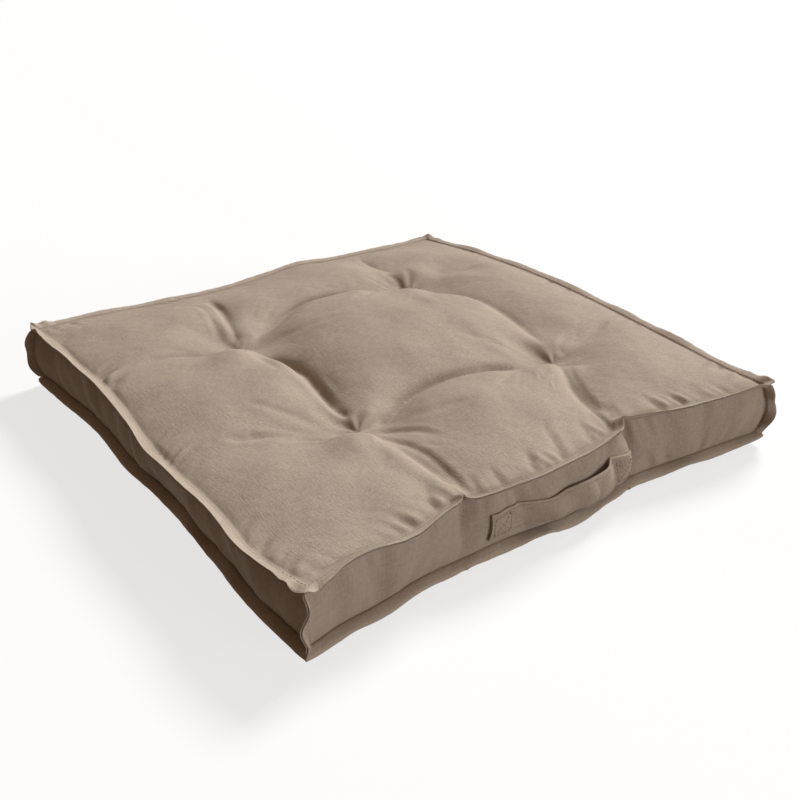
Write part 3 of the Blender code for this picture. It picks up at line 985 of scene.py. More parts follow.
    def _lip(self, gap: np.ndarray) -> np.ndarray:
        """Height of the full, rounded roll of cloth before a tuft.

        Args:
            gap: level offsets of the top's points from the tuft.

        Returns:
            One height for each point.
        """
        far = np.array([math.cos(self.pit_lean), math.sin(self.pit_lean)])
        ahead = gap @ far + self.lip_place
        across = gap @ np.array([-far[1], far[0]])
        ahead = ahead / np.where(ahead > 0, self.lip_back, self.lip_front)
        return self.lip_height * np.exp(-((ahead**2 + (across / self.lip_across) ** 2) ** 1.2))

    def _crease_top(self) -> None:
        """Presses the creases, small waves and the tufts' fine pleats into the top."""
        normal = grid_normals(self.top)
        height = np.zeros(self.top.shape[:2])
        for crease in CREASES:
            height += crease.height(self.top)
        height += 0.0005 * Ripple(31, 0.05, 0.16, 24).over(self.top)
        height += 0.00008 * Ripple(32, 0.010, 0.03, 24).over(self.top)
        for number, (x, y, _, _) in enumerate(self.filled.plan.tufts()):
            _, away, angle = self._around(x, y)
            pleat = np.cos(7 * angle + 1.3 * number) + 0.6 * np.cos(4 * angle + 2.1 * number)
            pleat = pleat * (0.5 + 0.5 * np.cos(angle - self.pit_lean))
            share = away / self.pleat_place
            height += self.pleat_height * pleat * share * np.exp(1 - share)
        inside = np.minimum.reduce(self._from_edges())
        self.top += normal * (height * smooth_step(inside / 0.006))[..., None]

    def _from_edges(self) -> list[np.ndarray]:
        """Distance of each point of the grids from each of the four seams."""
        n, step = self.cells, self.step
        i, j = np.meshgrid(np.arange(n + 1), np.arange(n + 1), indexing="ij")
        return [step * j, step * (n - i), step * (n - j), step * i]

    def _pucker(self) -> None:
        """Draws small puckers into the panels beside the seams."""
        n, step = self.cells, self.step
        i, j = np.meshgrid(np.arange(n + 1), np.arange(n + 1), indexing="ij")
        along = [i, j, n - i, n - j]
        bite, crest, spread = 0.004, 0.009, 0.011
        for grid, seed, sign in ((self.top, 5, 1), (self.bottom, 6, -1)):
            lift = np.zeros(grid.shape[:2])
            for side, (away, run) in enumerate(zip(self._from_edges(), along)):
                wave = Ripple(seed * 10 + side, 0.011, 0.040, 10).along(step * run + 0.25 * away)
                patch = Ripple(seed * 10 + 5 + side, 0.07, 0.2, 5).along(step * run)
                patch = np.clip(0.5 + 0.7 * patch, 0, 2)
                near = (away / bite) * np.exp(1 - away / bite) * 0.25 + np.exp(
                    -((away - crest) / spread) ** 2
                ) * smooth_step(away / bite)
                corner = smooth_step(step * np.minimum(run, n - run) / 0.02)
                lift += 0.0006 * wave * patch * near * corner
            grid[..., 2] += sign * lift
        groove = np.minimum.reduce(self._from_edges())
        self.top[..., 2] -= 0.0008 * np.exp(-((groove / 0.0035) ** 2))
        self.top_seam = self.top[self.ring[:, 0], self.ring[:, 1]]
        self.wall[-1] = self.top_seam

    def _wrinkle_wall(self) -> None:
        """Lays soft upright wrinkles, and the pleat at the strap, into the boxing."""
        run = self._run(self.top_seam)
        level = np.linspace(0, 1, len(self.wall))[:, None]
        body = np.sqrt(np.clip(4 * level * (1 - level), 0, 1))
        slanted = run[None] + 0.020 * (level - 0.5) * Ripple(71, 0.15, 0.4, 5).along(run)[None]
        wave = Ripple(72, 0.04, 0.14, 14).along(slanted)
        upper = Ripple(73, 0.012, 0.035, 10).along(slanted) * smooth_step((level - 0.45) / 0.5)
        lower = Ripple(74, 0.012, 0.035, 10).along(slanted) * smooth_step((0.55 - level) / 0.5)
        swell = body * (0.0016 * wave) + np.sqrt(body) * 0.00055 * (upper + lower)
        for place, height, left_wide, right_wide, lowest in self.pleats:
            near = slanted - self._front_place(place)
            near = near / np.where(near < 0, left_wide, right_wide)
            swell += height * np.exp(-(near**2)) * smooth_step((level - lowest) / 0.4) * body
        out = self.outward()[None] * swell[..., None]
        self.wall += out * (body > 0)[..., None]

    def _front_place(self, x: float) -> float:
        """Distance along the top seam of a place on the front side."""
        front = self.top_seam[: self.cells]
        return float(np.interp(x, front[:, 0], self._run(self.top_seam)[: self.cells]))

    def outward(self) -> np.ndarray:
        """Finds the level directions out of the cushion along its seams.

        Returns:
            One unit direction for each point round the cushion.
        """
        seam, n = self.top_seam, self.cells
        straight = np.repeat(STRAIGHT_OUT, n, axis=0)
        tangent = np.roll(seam, -3, axis=0) - np.roll(seam, 3, axis=0)
        out = np.stack([tangent[:, 1], -tangent[:, 0], 0 * tangent[:, 0]], axis=1)
        out /= np.linalg.norm(out, axis=1, keepdims=True)
        place = np.arange(4 * n) % n
        corner = np.minimum(place, n - place) < 6
        out[corner] = straight[corner]
        return out

    def _tilt(self, level: Level, near_corner: np.ndarray, wave: np.ndarray) -> np.ndarray:
        """Angle at which a seam allowance stands up.

        Args:
            level: which seam.
            near_corner: 1 at a corner and 0 away from it, at each point.
            wave: a slow wave along the seam, at each point.

        Returns:
            One angle for each point, in radians.
        """
        n = self.cells
        side, place = np.arange(4 * n) // n, np.arange(4 * n) % n
        if level is Level.TOP:
            base = np.array(self.tilts[0])[side]
            corner = (side + (place > n / 2)) % 4
            curl = np.array(self.corner_tilts)[corner]
            flutter = Ripple(103, 0.012, 0.028, 6).along(self._run(self.top_seam))
            tilt = base * (1 - near_corner) + 4 * wave + curl * near_corner
            tilt = tilt + 9 * near_corner * flutter
        else:
            tilt = np.array(self.tilts[1])[side] + 7 * wave + 8 * near_corner
        return np.radians(np.clip(tilt, self.least_tilt, self.most_tilt))

    def ply_rings(self, level: Level, upper: bool) -> np.ndarray:
        """Rows of one ply of a seam's turned-out allowance, from the seam outwards.

        Args:
            level: which seam.
            upper: whether it is the upper of the two plies.

        Returns:
            Points of (rows, points round the cushion).
        """
        n, flange = self.cells, self.filled.plan.flange
        seam = self.top_seam if level is Level.TOP else self.bottom_seam
        run, out = self._run(seam), self.outward()
        along = np.repeat(STRAIGHT_ALONG, n, axis=0)
        place = np.arange(4 * n) % n
        to_start, to_end = place * self.step, (n - place) * self.step
        spread = 2 * flange
        lean = np.where(to_end < spread, 1 - to_end / spread, 0)
        lean = np.where(to_start < spread, -(1 - to_start / spread), lean)
        near_corner = smooth_step(1 - np.minimum(to_start, to_end) / 0.03)
        seed = 100 if level is Level.TOP else 200
        wave = Ripple(seed, 0.07, 0.2, 12).along(run)
        fine = Ripple(seed + 1, 0.012, 0.03, 10).along(run)
        width = 1 + 0.025 * Ripple(seed + 2, 0.05, 0.16, 8).along(run)
        tilt = self._tilt(level, near_corner, wave)
        rows = []
        sign = 1 if upper else -1
        for away, thick in self.ply_rows:
            bend = tilt * (0.6 + 0.4 * away)
            flat = out * (away * flange * width * np.cos(bend))[:, None]
            flat = flat * (1 - (1 - self.gather) * lean[:, None] ** 4)
            flat = flat + along * (self.gather * lean * away * flange)[:, None]
            rise = away * flange * np.sin(bend) + 0.00012 * fine * away
            row = seam + flat
            row[:, 2] += sign * self.ply * self.ply_rise * thick + rise
            if level is Level.BOTTOM:
                lowest = self.floor_gap + (self.ply_step if upper else 0)
                row[:, 2] = np.maximum(row[:, 2], lowest)
            rows.append(row)
        return np.array(rows)


# ---- finishes -----------------------------------------------------------------------


class Recipe:
    """A material under construction, with short ways to add its nodes."""

    def __init__(self, name: str) -> None:
        """Starts a material that has only its shader.

        Args:
            name: the material's name.
        """
        self.made = bpy.data.materials.new(name)
        self.made.use_nodes = True
        self.tree = self.made.node_tree
        self.shader = self.tree.nodes["Principled BSDF"]

    def place(self, attribute: str) -> bpy.types.NodeSocket:
        """Coordinates kept on the mesh."""
        node = self.tree.nodes.new("ShaderNodeAttribute")
        node.attribute_name = attribute
        return node.outputs["Vector"]

    def amount(self, attribute: str) -> bpy.types.NodeSocket:
        """A number kept on the mesh."""
        node = self.tree.nodes.new("ShaderNodeAttribute")
        node.attribute_name = attribute
        return node.outputs["Fac"]

    def own_place(self) -> bpy.types.NodeSocket:
        """The object's own coordinates."""
        return self.tree.nodes.new("ShaderNodeTexCoord").outputs["Object"]

    def stretched(
        self, place: bpy.types.NodeSocket, by: tuple[float, float, float]
    ) -> bpy.types.NodeSocket:
        """Multiplies coordinates along each direction.

        Args:
            place: the coordinates.
            by: one factor for each direction.

        Returns:
            The new coordinates.
        """
        node = self.tree.nodes.new("ShaderNodeVectorMath")
        node.operation = "MULTIPLY"
        self.tree.links.new(place, node.inputs[0])
        node.inputs[1].default_value = by
        return node.outputs[0]

    def noise(
        self, place: bpy.types.NodeSocket, by: tuple[float, float, float], detail: float
    ) -> bpy.types.NodeSocket:
        """Soft noise, from 0 to 1.

        Args:
            place: coordinates.
            by: features to the metre along each direction.
            detail: how many finer layers are added.

        Returns:
            The noise.
        """
        node = self.tree.nodes.new("ShaderNodeTexNoise")
        self.tree.links.new(self.stretched(place, by), node.inputs["Vector"])
        node.inputs["Scale"].default_value = 1.0
        node.inputs["Detail"].default_value = detail
        return node.outputs["Fac"]

    def maths(
        self, operation: str, *values: bpy.types.NodeSocket | float
    ) -> bpy.types.NodeSocket:
        """One arithmetic step.

        Args:
            operation: the name of the step.
            values: its one to three inputs.

        Returns:
            The result.
        """
        node = self.tree.nodes.new("ShaderNodeMath")
        node.operation = operation
        for socket, value in zip(node.inputs, values):
            if isinstance(value, (int, float)):
                socket.default_value = value
            else:
                self.tree.links.new(value, socket)
        return node.outputs[0]

    def mixture(
        self, *parts: tuple[bpy.types.NodeSocket, float], start: float = 0.5
    ) -> bpy.types.NodeSocket:
        """Adds up parts, each measured from its middle and weighted.

        Args:
            parts: pairs of a value around 0.5 and its weight.
            start: what the parts are added to.

        Returns:
            The sum.
        """
        total: bpy.types.NodeSocket | float = start - sum(0.5 * weight for _, weight in parts)
        for value, weight in parts:
            total = self.maths("MULTIPLY_ADD", value, weight, total)
        return total

    def shade(
        self,
        factor: bpy.types.NodeSocket,
        dark: tuple[float, float, float],
        light: tuple[float, float, float],
    ) -> bpy.types.NodeSocket:
        """Mixes two colours.

        Args:
            factor: 0 for the dark colour, 1 for the light one.
            dark: the dark colour.
            light: the light colour.

        Returns:
            The mixed colour.
        """
        node = self.tree.nodes.new("ShaderNodeMix")
        node.data_type = "RGBA"
        self.tree.links.new(factor, node.inputs["Factor"])
        node.inputs["A"].default_value = (*dark, 1)
        node.inputs["B"].default_value = (*light, 1)
        return node.outputs["Result"]

    def finish(
        self,
        colour: bpy.types.NodeSocket,
        roughness: bpy.types.NodeSocket,
        height: bpy.types.NodeSocket,
        depth: float,
    ) -> bpy.types.Material:
        """Joins colour, roughness and relief to the shader.

        Args:
            colour: the colour.
            roughness: the roughness.
            height: relief, from 0 to 1.
            depth: how deep the relief is, in metres.

        Returns:
            The material.
        """
        bump = self.tree.nodes.new("ShaderNodeBump")
        bump.inputs["Distance"].default_value = depth
        self.tree.links.new(height, bump.inputs["Height"])
        self.tree.links.new(bump.outputs["Normal"], self.shader.inputs["Normal"])
        self.tree.links.new(colour, self.shader.inputs["Base Color"])
        self.tree.links.new(roughness, self.shader.inputs["Roughness"])
        return self.made


def scaled(colour: tuple[float, float, float], by: float) -> tuple[float, float, float]:
    """A colour made lighter or darker."""
    return tuple(min(1.0, channel * by) for channel in colour)


@dataclass(frozen=True)
class WovenCloth:
    """A matt, brushed plain weave with uneven yarns, rubbed lighter along its edges.

    Attributes:
        name: the material's name.
        colour: the colour of the cloth, before its yarns lighten and darken it.
        pitch: distance between neighbouring yarns, in metres.
        across_yarn: unevenness to the metre across a yarn.
        along_yarn: unevenness to the metre along a yarn.
        contrast: how much darker and lighter the cloth gets.
        relief: how deep the surface is, in metres.
    """

    name: str
    colour: tuple[float, float, float]
    pitch: float = 0.0009
    across_yarn: float = 820
    along_yarn: float = 75
    contrast: float = 0.20
    relief: float = 0.0006

    def material(self) -> bpy.types.Material:
        """Builds the material.

        Returns:
            The material.
        """
        made = Recipe(self.name)
        place = made.place("cloth")
        turn = math.pi / self.pitch
        parts = made.tree.nodes.new("ShaderNodeSeparateXYZ")
        wander = made.noise(place, (90, 90, 90), 1)
        made.tree.links.new(made.stretched(place, (turn, turn, turn)), parts.inputs[0])
        drift = made.maths("MULTIPLY", wander, 5.0)
        warp = made.maths("SINE", made.maths("ADD", parts.outputs["X"], drift))
        weft = made.maths("SINE", made.maths("ADD", parts.outputs["Y"], drift))
        weave = made.maths("MULTIPLY_ADD", made.maths("MULTIPLY", warp, weft), 0.5, 0.5)
        fine, long = self.across_yarn, self.along_yarn
        warp_yarn = made.noise(place, (fine, long, long), 2)
        weft_yarn = made.noise(place, (long, fine, long), 2)
        nap = made.noise(place, (1500, 1500, 1500), 2)
        mottle = made.noise(place, (330, 330, 330), 3)
        cloud = made.noise(place, (22, 22, 22), 2)
        tone = made.mixture(
            (warp_yarn, 0.75), (weft_yarn, 0.75), (nap, 0.5), (mottle, 0.8), (cloud, 0.55),
            (weave, 0.06),
        )
        worn = made.maths("MULTIPLY", made.amount("wear"), made.maths("ADD", mottle, 0.25))
        tone = made.maths("ADD", tone, made.maths("MULTIPLY", worn, 0.9))
        dark, light = scaled(self.colour, 1 - self.contrast), scaled(self.colour, 1 + self.contrast)
        colour = made.shade(tone, dark, light)
        relief = made.mixture(
            (weave, 0.14), (warp_yarn, 0.5), (weft_yarn, 0.5), (nap, 0.55), (mottle, 0.55)
        )
        roughness = made.mixture((mottle, 0.12), (nap, 0.10), start=0.92)
        made.shader.inputs["Sheen Weight"].default_value = 0.12
        made.shader.inputs["Sheen Roughness"].default_value = 0.55
        made.shader.inputs["Sheen Tint"].default_value = (*scaled(self.colour, 1.9), 1)
        made.shader.inputs["Specular IOR Level"].default_value = 0.25
        return made.finish(colour, roughness, relief, self.relief)


@dataclass(frozen=True)
class SpunThread:
    """Twisted thread or twine, with its twist and a few stray fibres.

    Attributes:
        name: the material's name.
        colour: the colour of the thread.
        twist: length of one turn of its strands, in metres.
        fuzz: stray fibres to the metre.
    """

    name: str
    colour: tuple[float, float, float]
    twist: float
    fuzz: float = 2400

    def material(self) -> bpy.types.Material:
        """Builds the material.

        Returns:
            The material.
        """
        made = Recipe(self.name)
        place = made.own_place()
        parts = made.tree.nodes.new("ShaderNodeSeparateXYZ")
        made.tree.links.new(place, parts.inputs[0])
        slant = made.maths("ADD", parts.outputs["X"], parts.outputs["Y"])
        slant = made.maths("ADD", slant, parts.outputs["Z"])
        turns = made.maths("SINE", made.maths("MULTIPLY", slant, 2 * math.pi / self.twist))
        strands = made.maths("MULTIPLY_ADD", turns, 0.5, 0.5)
        fuzz = made.noise(place, (self.fuzz, self.fuzz, self.fuzz), 2)
        tone = made.mixture((strands, 0.5), (fuzz, 0.9))
        colour = made.shade(tone, scaled(self.colour, 0.65), scaled(self.colour, 1.3))
        roughness = made.mixture((fuzz, 0.2), start=0.75)
        relief = made.mixture((strands, 0.7), (fuzz, 0.4))
        return made.finish(colour, roughness, relief, 0.15 * self.twist)


@dataclass(frozen=True)
class HollowFibre:
    """White wadding of crimped fibres."""

    name: str = "hollow_fibre"

    def material(self) -> bpy.types.Material:
        """Builds the material.

        Returns:
            The material.
        """
        made = Recipe(self.name)
        place = made.own_place()
        strands = made.noise(place, (300, 60, 300), 4)
        tufts = made.noise(place, (40, 40, 40), 3)
        tone = made.mixture((strands, 0.8), (tufts, 0.8))
        colour = made.shade(tone, (0.70, 0.69, 0.66), (0.92, 0.91, 0.88))
        roughness = made.mixture((strands, 0.1), start=0.95)
        return made.finish(colour, roughness, made.mixture((strands, 0.8), (tufts, 0.6)), 0.003)


# ---- studio -------------------------------------------------------------------------


@dataclass(frozen=True)
class SoftLight:
    """An even, soft light from one direction.

    Attributes:
        name: the light's name.
        towards: the direction in which it stands.
        softness: how wide it looks from the cushion, in degrees.
        strength: watts to the square metre.
    """

    name: str
    towards: tuple[float, float, float]
    softness: float
    strength: float

    def set_up(self) -> None:
        """Hangs the light."""
        data = bpy.data.lights.new(self.name, "SUN")
        data.angle = math.radians(self.softness)
        data.energy = self.strength
        lamp = linked(self.name, data)
        lamp.matrix_world = Vector(self.towards).to_track_quat("Z", "Y").to_matrix().to_4x4()


@dataclass
class Studio:
    """Camera, lights and floor.

    Attributes:
        azimuth: direction of the camera, in degrees from -Y towards +X.
        elevation: its angle above the floor, in degrees.
        distance: its distance from its aim, in metres.
        roll: how far it leans, in degrees.
        aim: the place at which it looks.
        lens: its focal length, in millimetres.
        lights: the lights that have a direction.
        ambient: colour of the light from all round.
        backdrop: colour behind the floor.
        floor_size: half of the floor's width, in metres.
        floor_glow: how bright the floor is by itself.
    """

    azimuth: float = -37.93
    elevation: float = 27.95
    distance: float = 1.0783
    roll: float = 1.226
    aim: tuple[float, float, float] = (-0.0160, -0.0469, 0.0421)
    lens: float = 44.48
    lights: tuple[SoftLight, ...] = (
        SoftLight("key_light", (0.68, 0.26, 0.62), 18, 3.75),
        SoftLight("fill_light", (0.36, -0.90, 0.20), 40, 1.80),
    )
    ambient: tuple[float, float, float] = (0.142, 0.094, 0.058)
    backdrop: tuple[float, float, float] = (0.97, 0.97, 0.97)
    floor_size: float = 30.0
    floor_glow: float = 0.74

    def set_up(self) -> None:
        """Places everything in the studio."""
        self._camera()
        self._lights()
        self._floor()

    def _camera(self) -> None:
        """A camera that looks down on the front left corner."""
        a, e = math.radians(self.azimuth), math.radians(self.elevation)
        away = Vector((math.sin(a) * math.cos(e), -math.cos(a) * math.cos(e), math.sin(e)))
        data = bpy.data.cameras.new("camera")
        data.lens = self.lens
        data.sensor_width = 36.0
        camera = linked("camera", data)
        right = Vector((0, 0, 1)).cross(away).normalized()
        up = away.cross(right).normalized()
        tilt = math.radians(self.roll)
        tilted_right = right * math.cos(tilt) + up * math.sin(tilt)
        tilted_up = up * math.cos(tilt) - right * math.sin(tilt)
        turn = Matrix((tilted_right, tilted_up, away)).transposed().to_4x4()
        place = Vector(self.aim) + away * self.distance
        camera.matrix_world = Matrix.Translation(place) @ turn
        bpy.context.scene.camera = camera

    def _lights(self) -> None:
        """A soft key light from the right, a softer, lower fill and a faint light all round."""
        for light in self.lights:
            light.set_up()
        world = bpy.data.worlds.new("studio")
        world.use_nodes = True
        tree = world.node_tree
        background = tree.nodes["Background"]
        sight = tree.nodes.new("ShaderNodeLightPath")
        lit = tree.nodes.new("ShaderNodeMix")
        lit.data_type = "RGBA"
        lit.inputs["A"].default_value = (*self.ambient, 1)
        lit.inputs["B"].default_value = (*self.backdrop, 1)
        tree.links.new(sight.outputs["Is Camera Ray"], lit.inputs["Factor"])
        tree.links.new(lit.outputs["Result"], background.inputs["Color"])
        bpy.context.scene.world = world
        bpy.context.scene.view_settings.view_transform = "Standard"

    def _floor(self) -> None:
        """A plain pale floor."""
        made = bpy.data.materials.new("studio_floor")
        made.use_nodes = True
        shader = made.node_tree.nodes["Principled BSDF"]
        shader.inputs["Base Color"].default_value = (0.22, 0.22, 0.22, 1)
        shader.inputs["Emission Color"].default_value = (1, 1, 1, 1)
        shader.inputs["Emission Strength"].default_value = self.floor_glow
        shader.inputs["Roughness"].default_value = 0.9
        corners = self.floor_size * np.array([[-1, -1, 0], [1, -1, 0], [1, 1, 0], [-1, 1, 0]])
        floor = mesh_object("studio_floor", corners, np.array([[0, 1, 2, 3]]), made)
        floor.location.z = -0.0005
        floor.visible_diffuse = False


# ---- pieces -------------------------------------------------------------------------


@dataclass
class Panel:
    """The top or the bottom panel, with its ply of the turned-out seam allowance.

    Attributes:
        cover: the finished cover.
        level: which of the two panels.
        flat_rows: rows of the allowance that its width takes up on the flat cloth.
    """

    cover: FinishedCover
    level: Level
    flat_rows: int = 9

    def build(self, finish: bpy.types.Material) -> bpy.types.Object:
        """Builds the panel.

        Args:
            finish: the cloth.

        Returns:
            The piece.
        """
        cover, n = self.cover, self.cover.cells
        top = self.level is Level.TOP
        grid = cover.top if top else cover.bottom
        rings = cover.ply_rings(self.level, upper=top)
        count = (n + 1) ** 2
        loops = [cover.ring[:, 0] * (n + 1) + cover.ring[:, 1]]
        loops += [count + row * 4 * n + np.arange(4 * n) for row in range(len(rings))]
        bands = [
            np.stack([inner, outer, np.roll(outer, -1), np.roll(inner, -1)], axis=1)
            for inner, outer in zip(loops, loops[1:])
        ]
        faces = np.concatenate([grid_faces(n + 1, n + 1), *bands])
        if not top:
            faces = faces[:, ::-1]
        plan = cover.filled.plan
        share = np.linspace(-1, 1, n + 1) * plan.seam * cover.filled.ease
        u, v = np.meshgrid(share, share, indexing="ij")
        flat = np.stack([u, v, 0 * u], axis=2)
        edge = flat[cover.ring[:, 0], cover.ring[:, 1]]
        outs = np.repeat(STRAIGHT_OUT, n, axis=0)
        ring_flat = [
            edge + outs * plan.flange * (row + 1) / self.flat_rows for row in range(len(rings))
        ]
        cloth = np.concatenate([flat.reshape(-1, 3), *ring_flat])
        points = np.concatenate([grid.reshape(-1, 3), rings.reshape(-1, 3)])
        rubbed = np.zeros(len(points))
        rubbed[count:] = np.repeat(cover.edge_wear, 4 * n)
        name = "cover_top" if top else "cover_bottom"
        return mesh_object(name, points, faces, finish, cloth, rubbed)


@dataclass
class Boxing:
    """One length of the boxing, with its plies of the seam allowances.

    Attributes:
        cover: the finished cover.
        side: the side on which it lies.
        corner_reach: width of the upright allowances at its ends, in metres.
    """

    cover: FinishedCover
    side: Side
    corner_reach: float = 0.0115

    def build(self, finish: bpy.types.Material) -> bpy.types.Object:
        """Builds the length of boxing.

        Args:
            finish: the cloth.

        Returns:
            The piece.
        """
        cover, n = self.cover, self.cover.cells
        columns = (self.side.value * n + np.arange(n + 1)) % (4 * n)
        wall = cover.wall[:, columns]
        low = cover.ply_rings(Level.BOTTOM, upper=True)[::-1][:, columns]
        high = cover.ply_rings(Level.TOP, upper=False)[:, columns]
        middle = np.concatenate([low, wall, high])
        k, below = len(cover.ply_rows), len(low)
        body = slice(below, below + len(wall))
        total = np.zeros((len(middle), n + 1 + 2 * k, 3))
        total[:, k : k + n + 1] = middle
        total[body, :k] = self.corner_ply(wall[:, 0], at_start=True)[:, ::-1]
        total[body, k + n + 1 :] = self.corner_ply(wall[:, -1], at_start=False)
        missing = np.zeros((total.shape[0] - 1, total.shape[1] - 1), bool)
        for empty in (slice(0, below), slice(body.stop - 1, None)):
            missing[empty, :k] = missing[empty, k + n :] = True
        faces = grid_faces(*total.shape[:2], missing)[:, ::-1]
        i, j = np.meshgrid(np.arange(total.shape[0]), np.arange(total.shape[1]), indexing="ij")
        flat = np.stack([j * cover.step, i * cover.step, 0 * i], axis=2)
        wear = cover.edge_wear
        rubbed = np.zeros(total.shape[:2])
        rubbed[:below] = wear[::-1, None]
        rubbed[-len(high) :] = wear[:, None]
        rubbed[:, :k] = wear[::-1][None]
        rubbed[:, -k:] = wear[None]
        name = f"cover_boxing_{self.side.name.lower()}"
        return mesh_object(name, total, faces, finish, flat, rubbed)

    def corner_ply(self, seam: np.ndarray, at_start: bool) -> np.ndarray:
        """Columns of the upright allowance at one corner.

        Args:
            seam: the corner seam, from the bottom up.
            at_start: whether it is the corner at the start of this length.

        Returns:
            Points of (rows up the seam, columns outwards).
        """
        across = -1.0 if at_start else 1.0
        out = turned(np.array([across, -1.0, 0.0]), self.side.value) / math.sqrt(2)
        over = turned(np.array([-across, -1.0, 0.0]), self.side.value) / math.sqrt(2)
        corner = (self.side.value + (0 if at_start else 1)) % 4
        height = seam[:, 2]
        wave = 0.0020 * Ripple(300 + corner, 0.025, 0.06, 6).along(height)
        uneven = 1 + 0.05 * Ripple(310 + corner, 0.020, 0.05, 5).along(height)
        sway = 1 if at_start else -1
        columns = []
        for away, thick in self.cover.ply_rows:
            reach = away * self.corner_reach * uneven[:, None]
            rise = self.cover.ply * self.cover.ply_rise * thick
            column = seam + out * reach + over * rise
            column = column + over * (sway * wave * away)[:, None]
            columns.append(column)
        return np.stack(columns, axis=1)


@dataclass(frozen=True)
class Stitching:
    """Rows of single stitches in a lockstitch thread.

    Attributes:
        length: length of a stitch, in metres.
        gap: distance between two stitches, in metres.
        radius: radius of the thread, in metres.
        profile: rings of points along a stitch, as (share of its length, share of the
            radius, height above the cloth in radii).
    """

    length: float = 0.0032
    gap: float = 0.0009
    radius: float = 0.00034
    profile: tuple[tuple[float, float, float], ...] = (
        (0.0, 0.45, -0.9), (0.18, 0.95, 0.25), (0.5, 1.0, 0.55), (0.82, 0.95, 0.25),
        (1.0, 0.45, -0.9),
    )

    def _faces(self) -> np.ndarray:
        """Joins the points of one stitch, which is a tube of six sides with two ends.

        Returns:
            Rows of four point numbers.
        """
        sides, rings = 6, len(self.profile)
        faces = []
        for j in range(rings - 1):
            for k in range(sides):
                a, b = j * sides + k, j * sides + (k + 1) % sides
                faces.append((a, b, b + sides, a + sides))
        for start, order in ((0, -1), ((rings - 1) * sides, 1)):
            ends = [start + k for k in range(sides)][::order]
            faces += [tuple(ends[:4]), (ends[0], ends[3], ends[4], ends[5])]
        return np.array(faces)

    def row(
        self, path: np.ndarray, normals: np.ndarray, closed: bool = False
    ) -> tuple[np.ndarray, np.ndarray]:
        """Lays stitches along a path.

        Args:
            path: points along the row.
            normals: the direction that faces out of the cloth, at each point.
            closed: whether the row meets its own start.

        Returns:
            Points and faces of the stitches.
        """
        if closed:
            path = np.concatenate([path, path[:1]])
            normals = np.concatenate([normals, normals[:1]])
        run = np.concatenate([[0], np.cumsum(np.linalg.norm(np.diff(path, axis=0), axis=1))])
        count = max(1, int(run[-1] / (self.length + self.gap)))
        pitch = run[-1] / count
        shares, widths, heights = np.array(self.profile).T
        stations = shares * (pitch - self.gap) + self.gap / 2
        thick, raised = widths * self.radius, heights * self.radius
        at = np.arange(count)[:, None] * pitch + stations[None]

        def read(values: np.ndarray) -> np.ndarray:
            """Values at the stations of every stitch."""
            return np.stack([np.interp(at, run, values[:, k]) for k in range(3)], axis=-1)

        centre, normal = read(path), read(normals)
        normal /= np.linalg.norm(normal, axis=-1, keepdims=True)
        tangent = np.gradient(centre, axis=1)
        tangent /= np.linalg.norm(tangent, axis=-1, keepdims=True)
        across = np.cross(tangent, normal)
        centre = centre + normal * raised[None, :, None]
        angle = np.arange(6) * 2 * math.pi / 6
        ring = (
            across[:, :, None] * np.cos(angle)[None, None, :, None]
            + normal[:, :, None] * np.sin(angle)[None, None, :, None]
        )
        points = centre[:, :, None] + ring * thick[None, :, None, None]
        block = len(self.profile) * len(angle)
        faces = self._faces()[None] + block * np.arange(count)[:, None, None]
        return points.reshape(-1, 3), faces.reshape(-1, 4)

    def piece(
        self, name: str, rows: list[tuple[np.ndarray, np.ndarray]], finish: bpy.types.Material
    ) -> bpy.types.Object:
        """One object from several rows of stitches.

        Args:
            name: the piece's name.
            rows: points and faces of each row.
            finish: the thread.

        Returns:
            The piece.
        """
        points, faces, count = [], [], 0
        for row_points, row_faces in rows:
            points.append(row_points)
            faces.append(row_faces + count)
            count += len(row_points)
        return mesh_object(name, np.concatenate(points), np.concatenate(faces), finish)


@dataclass
class SeamStitches:
    """The stitching that holds the plies together, seen on both faces of each seam."""

    cover: FinishedCover
    stitching: Stitching = Stitching()

    def round_seam(self, level: Level, finish: bpy.types.Material) -> bpy.types.Object:
        """The stitches of the top or the bottom seam.

        Args:
            level: which seam.
            finish: the thread.

        Returns:
            The piece.
        """
        rows = []
        for upper in (True, False):
            rings = self.cover.ply_rings(level, upper)
            path = 0.4 * rings[0] + 0.6 * rings[1]
            normal = np.tile([0.0, 0.0, 1.0 if upper else -1.0], (len(path), 1))
            rows.append(self.stitching.row(path, normal, closed=True))
        return self.stitching.piece(f"{level.value}_seam_stitches", rows, finish)

    def up_corner(
        self, corner: int, finish: bpy.types.Material, boxings: list[Boxing]
    ) -> bpy.types.Object:
        """The stitches of one upright corner seam.

        Args:
            corner: number of the corner, from the front left.
            finish: the thread.
            boxings: the four lengths of boxing.

        Returns:
            The piece.
        """
        n = self.cover.cells
        seam = self.cover.wall[:, (corner * n) % (4 * n)]
        rows = []
        for boxing, at_start in ((boxings[corner], True), (boxings[corner - 1], False)):
            columns = boxing.corner_ply(seam, at_start)
            path = columns[3:-3, 1]
            across = -1.0 if at_start else 1.0
            face = turned(np.array([-across, -1.0, 0.0]), boxing.side.value) / math.sqrt(2)
            rows.append(self.stitching.row(path, np.tile(face, (len(path), 1))))
        return self.stitching.piece(f"corner_stitches_{CORNERS[corner]}", rows, finish)


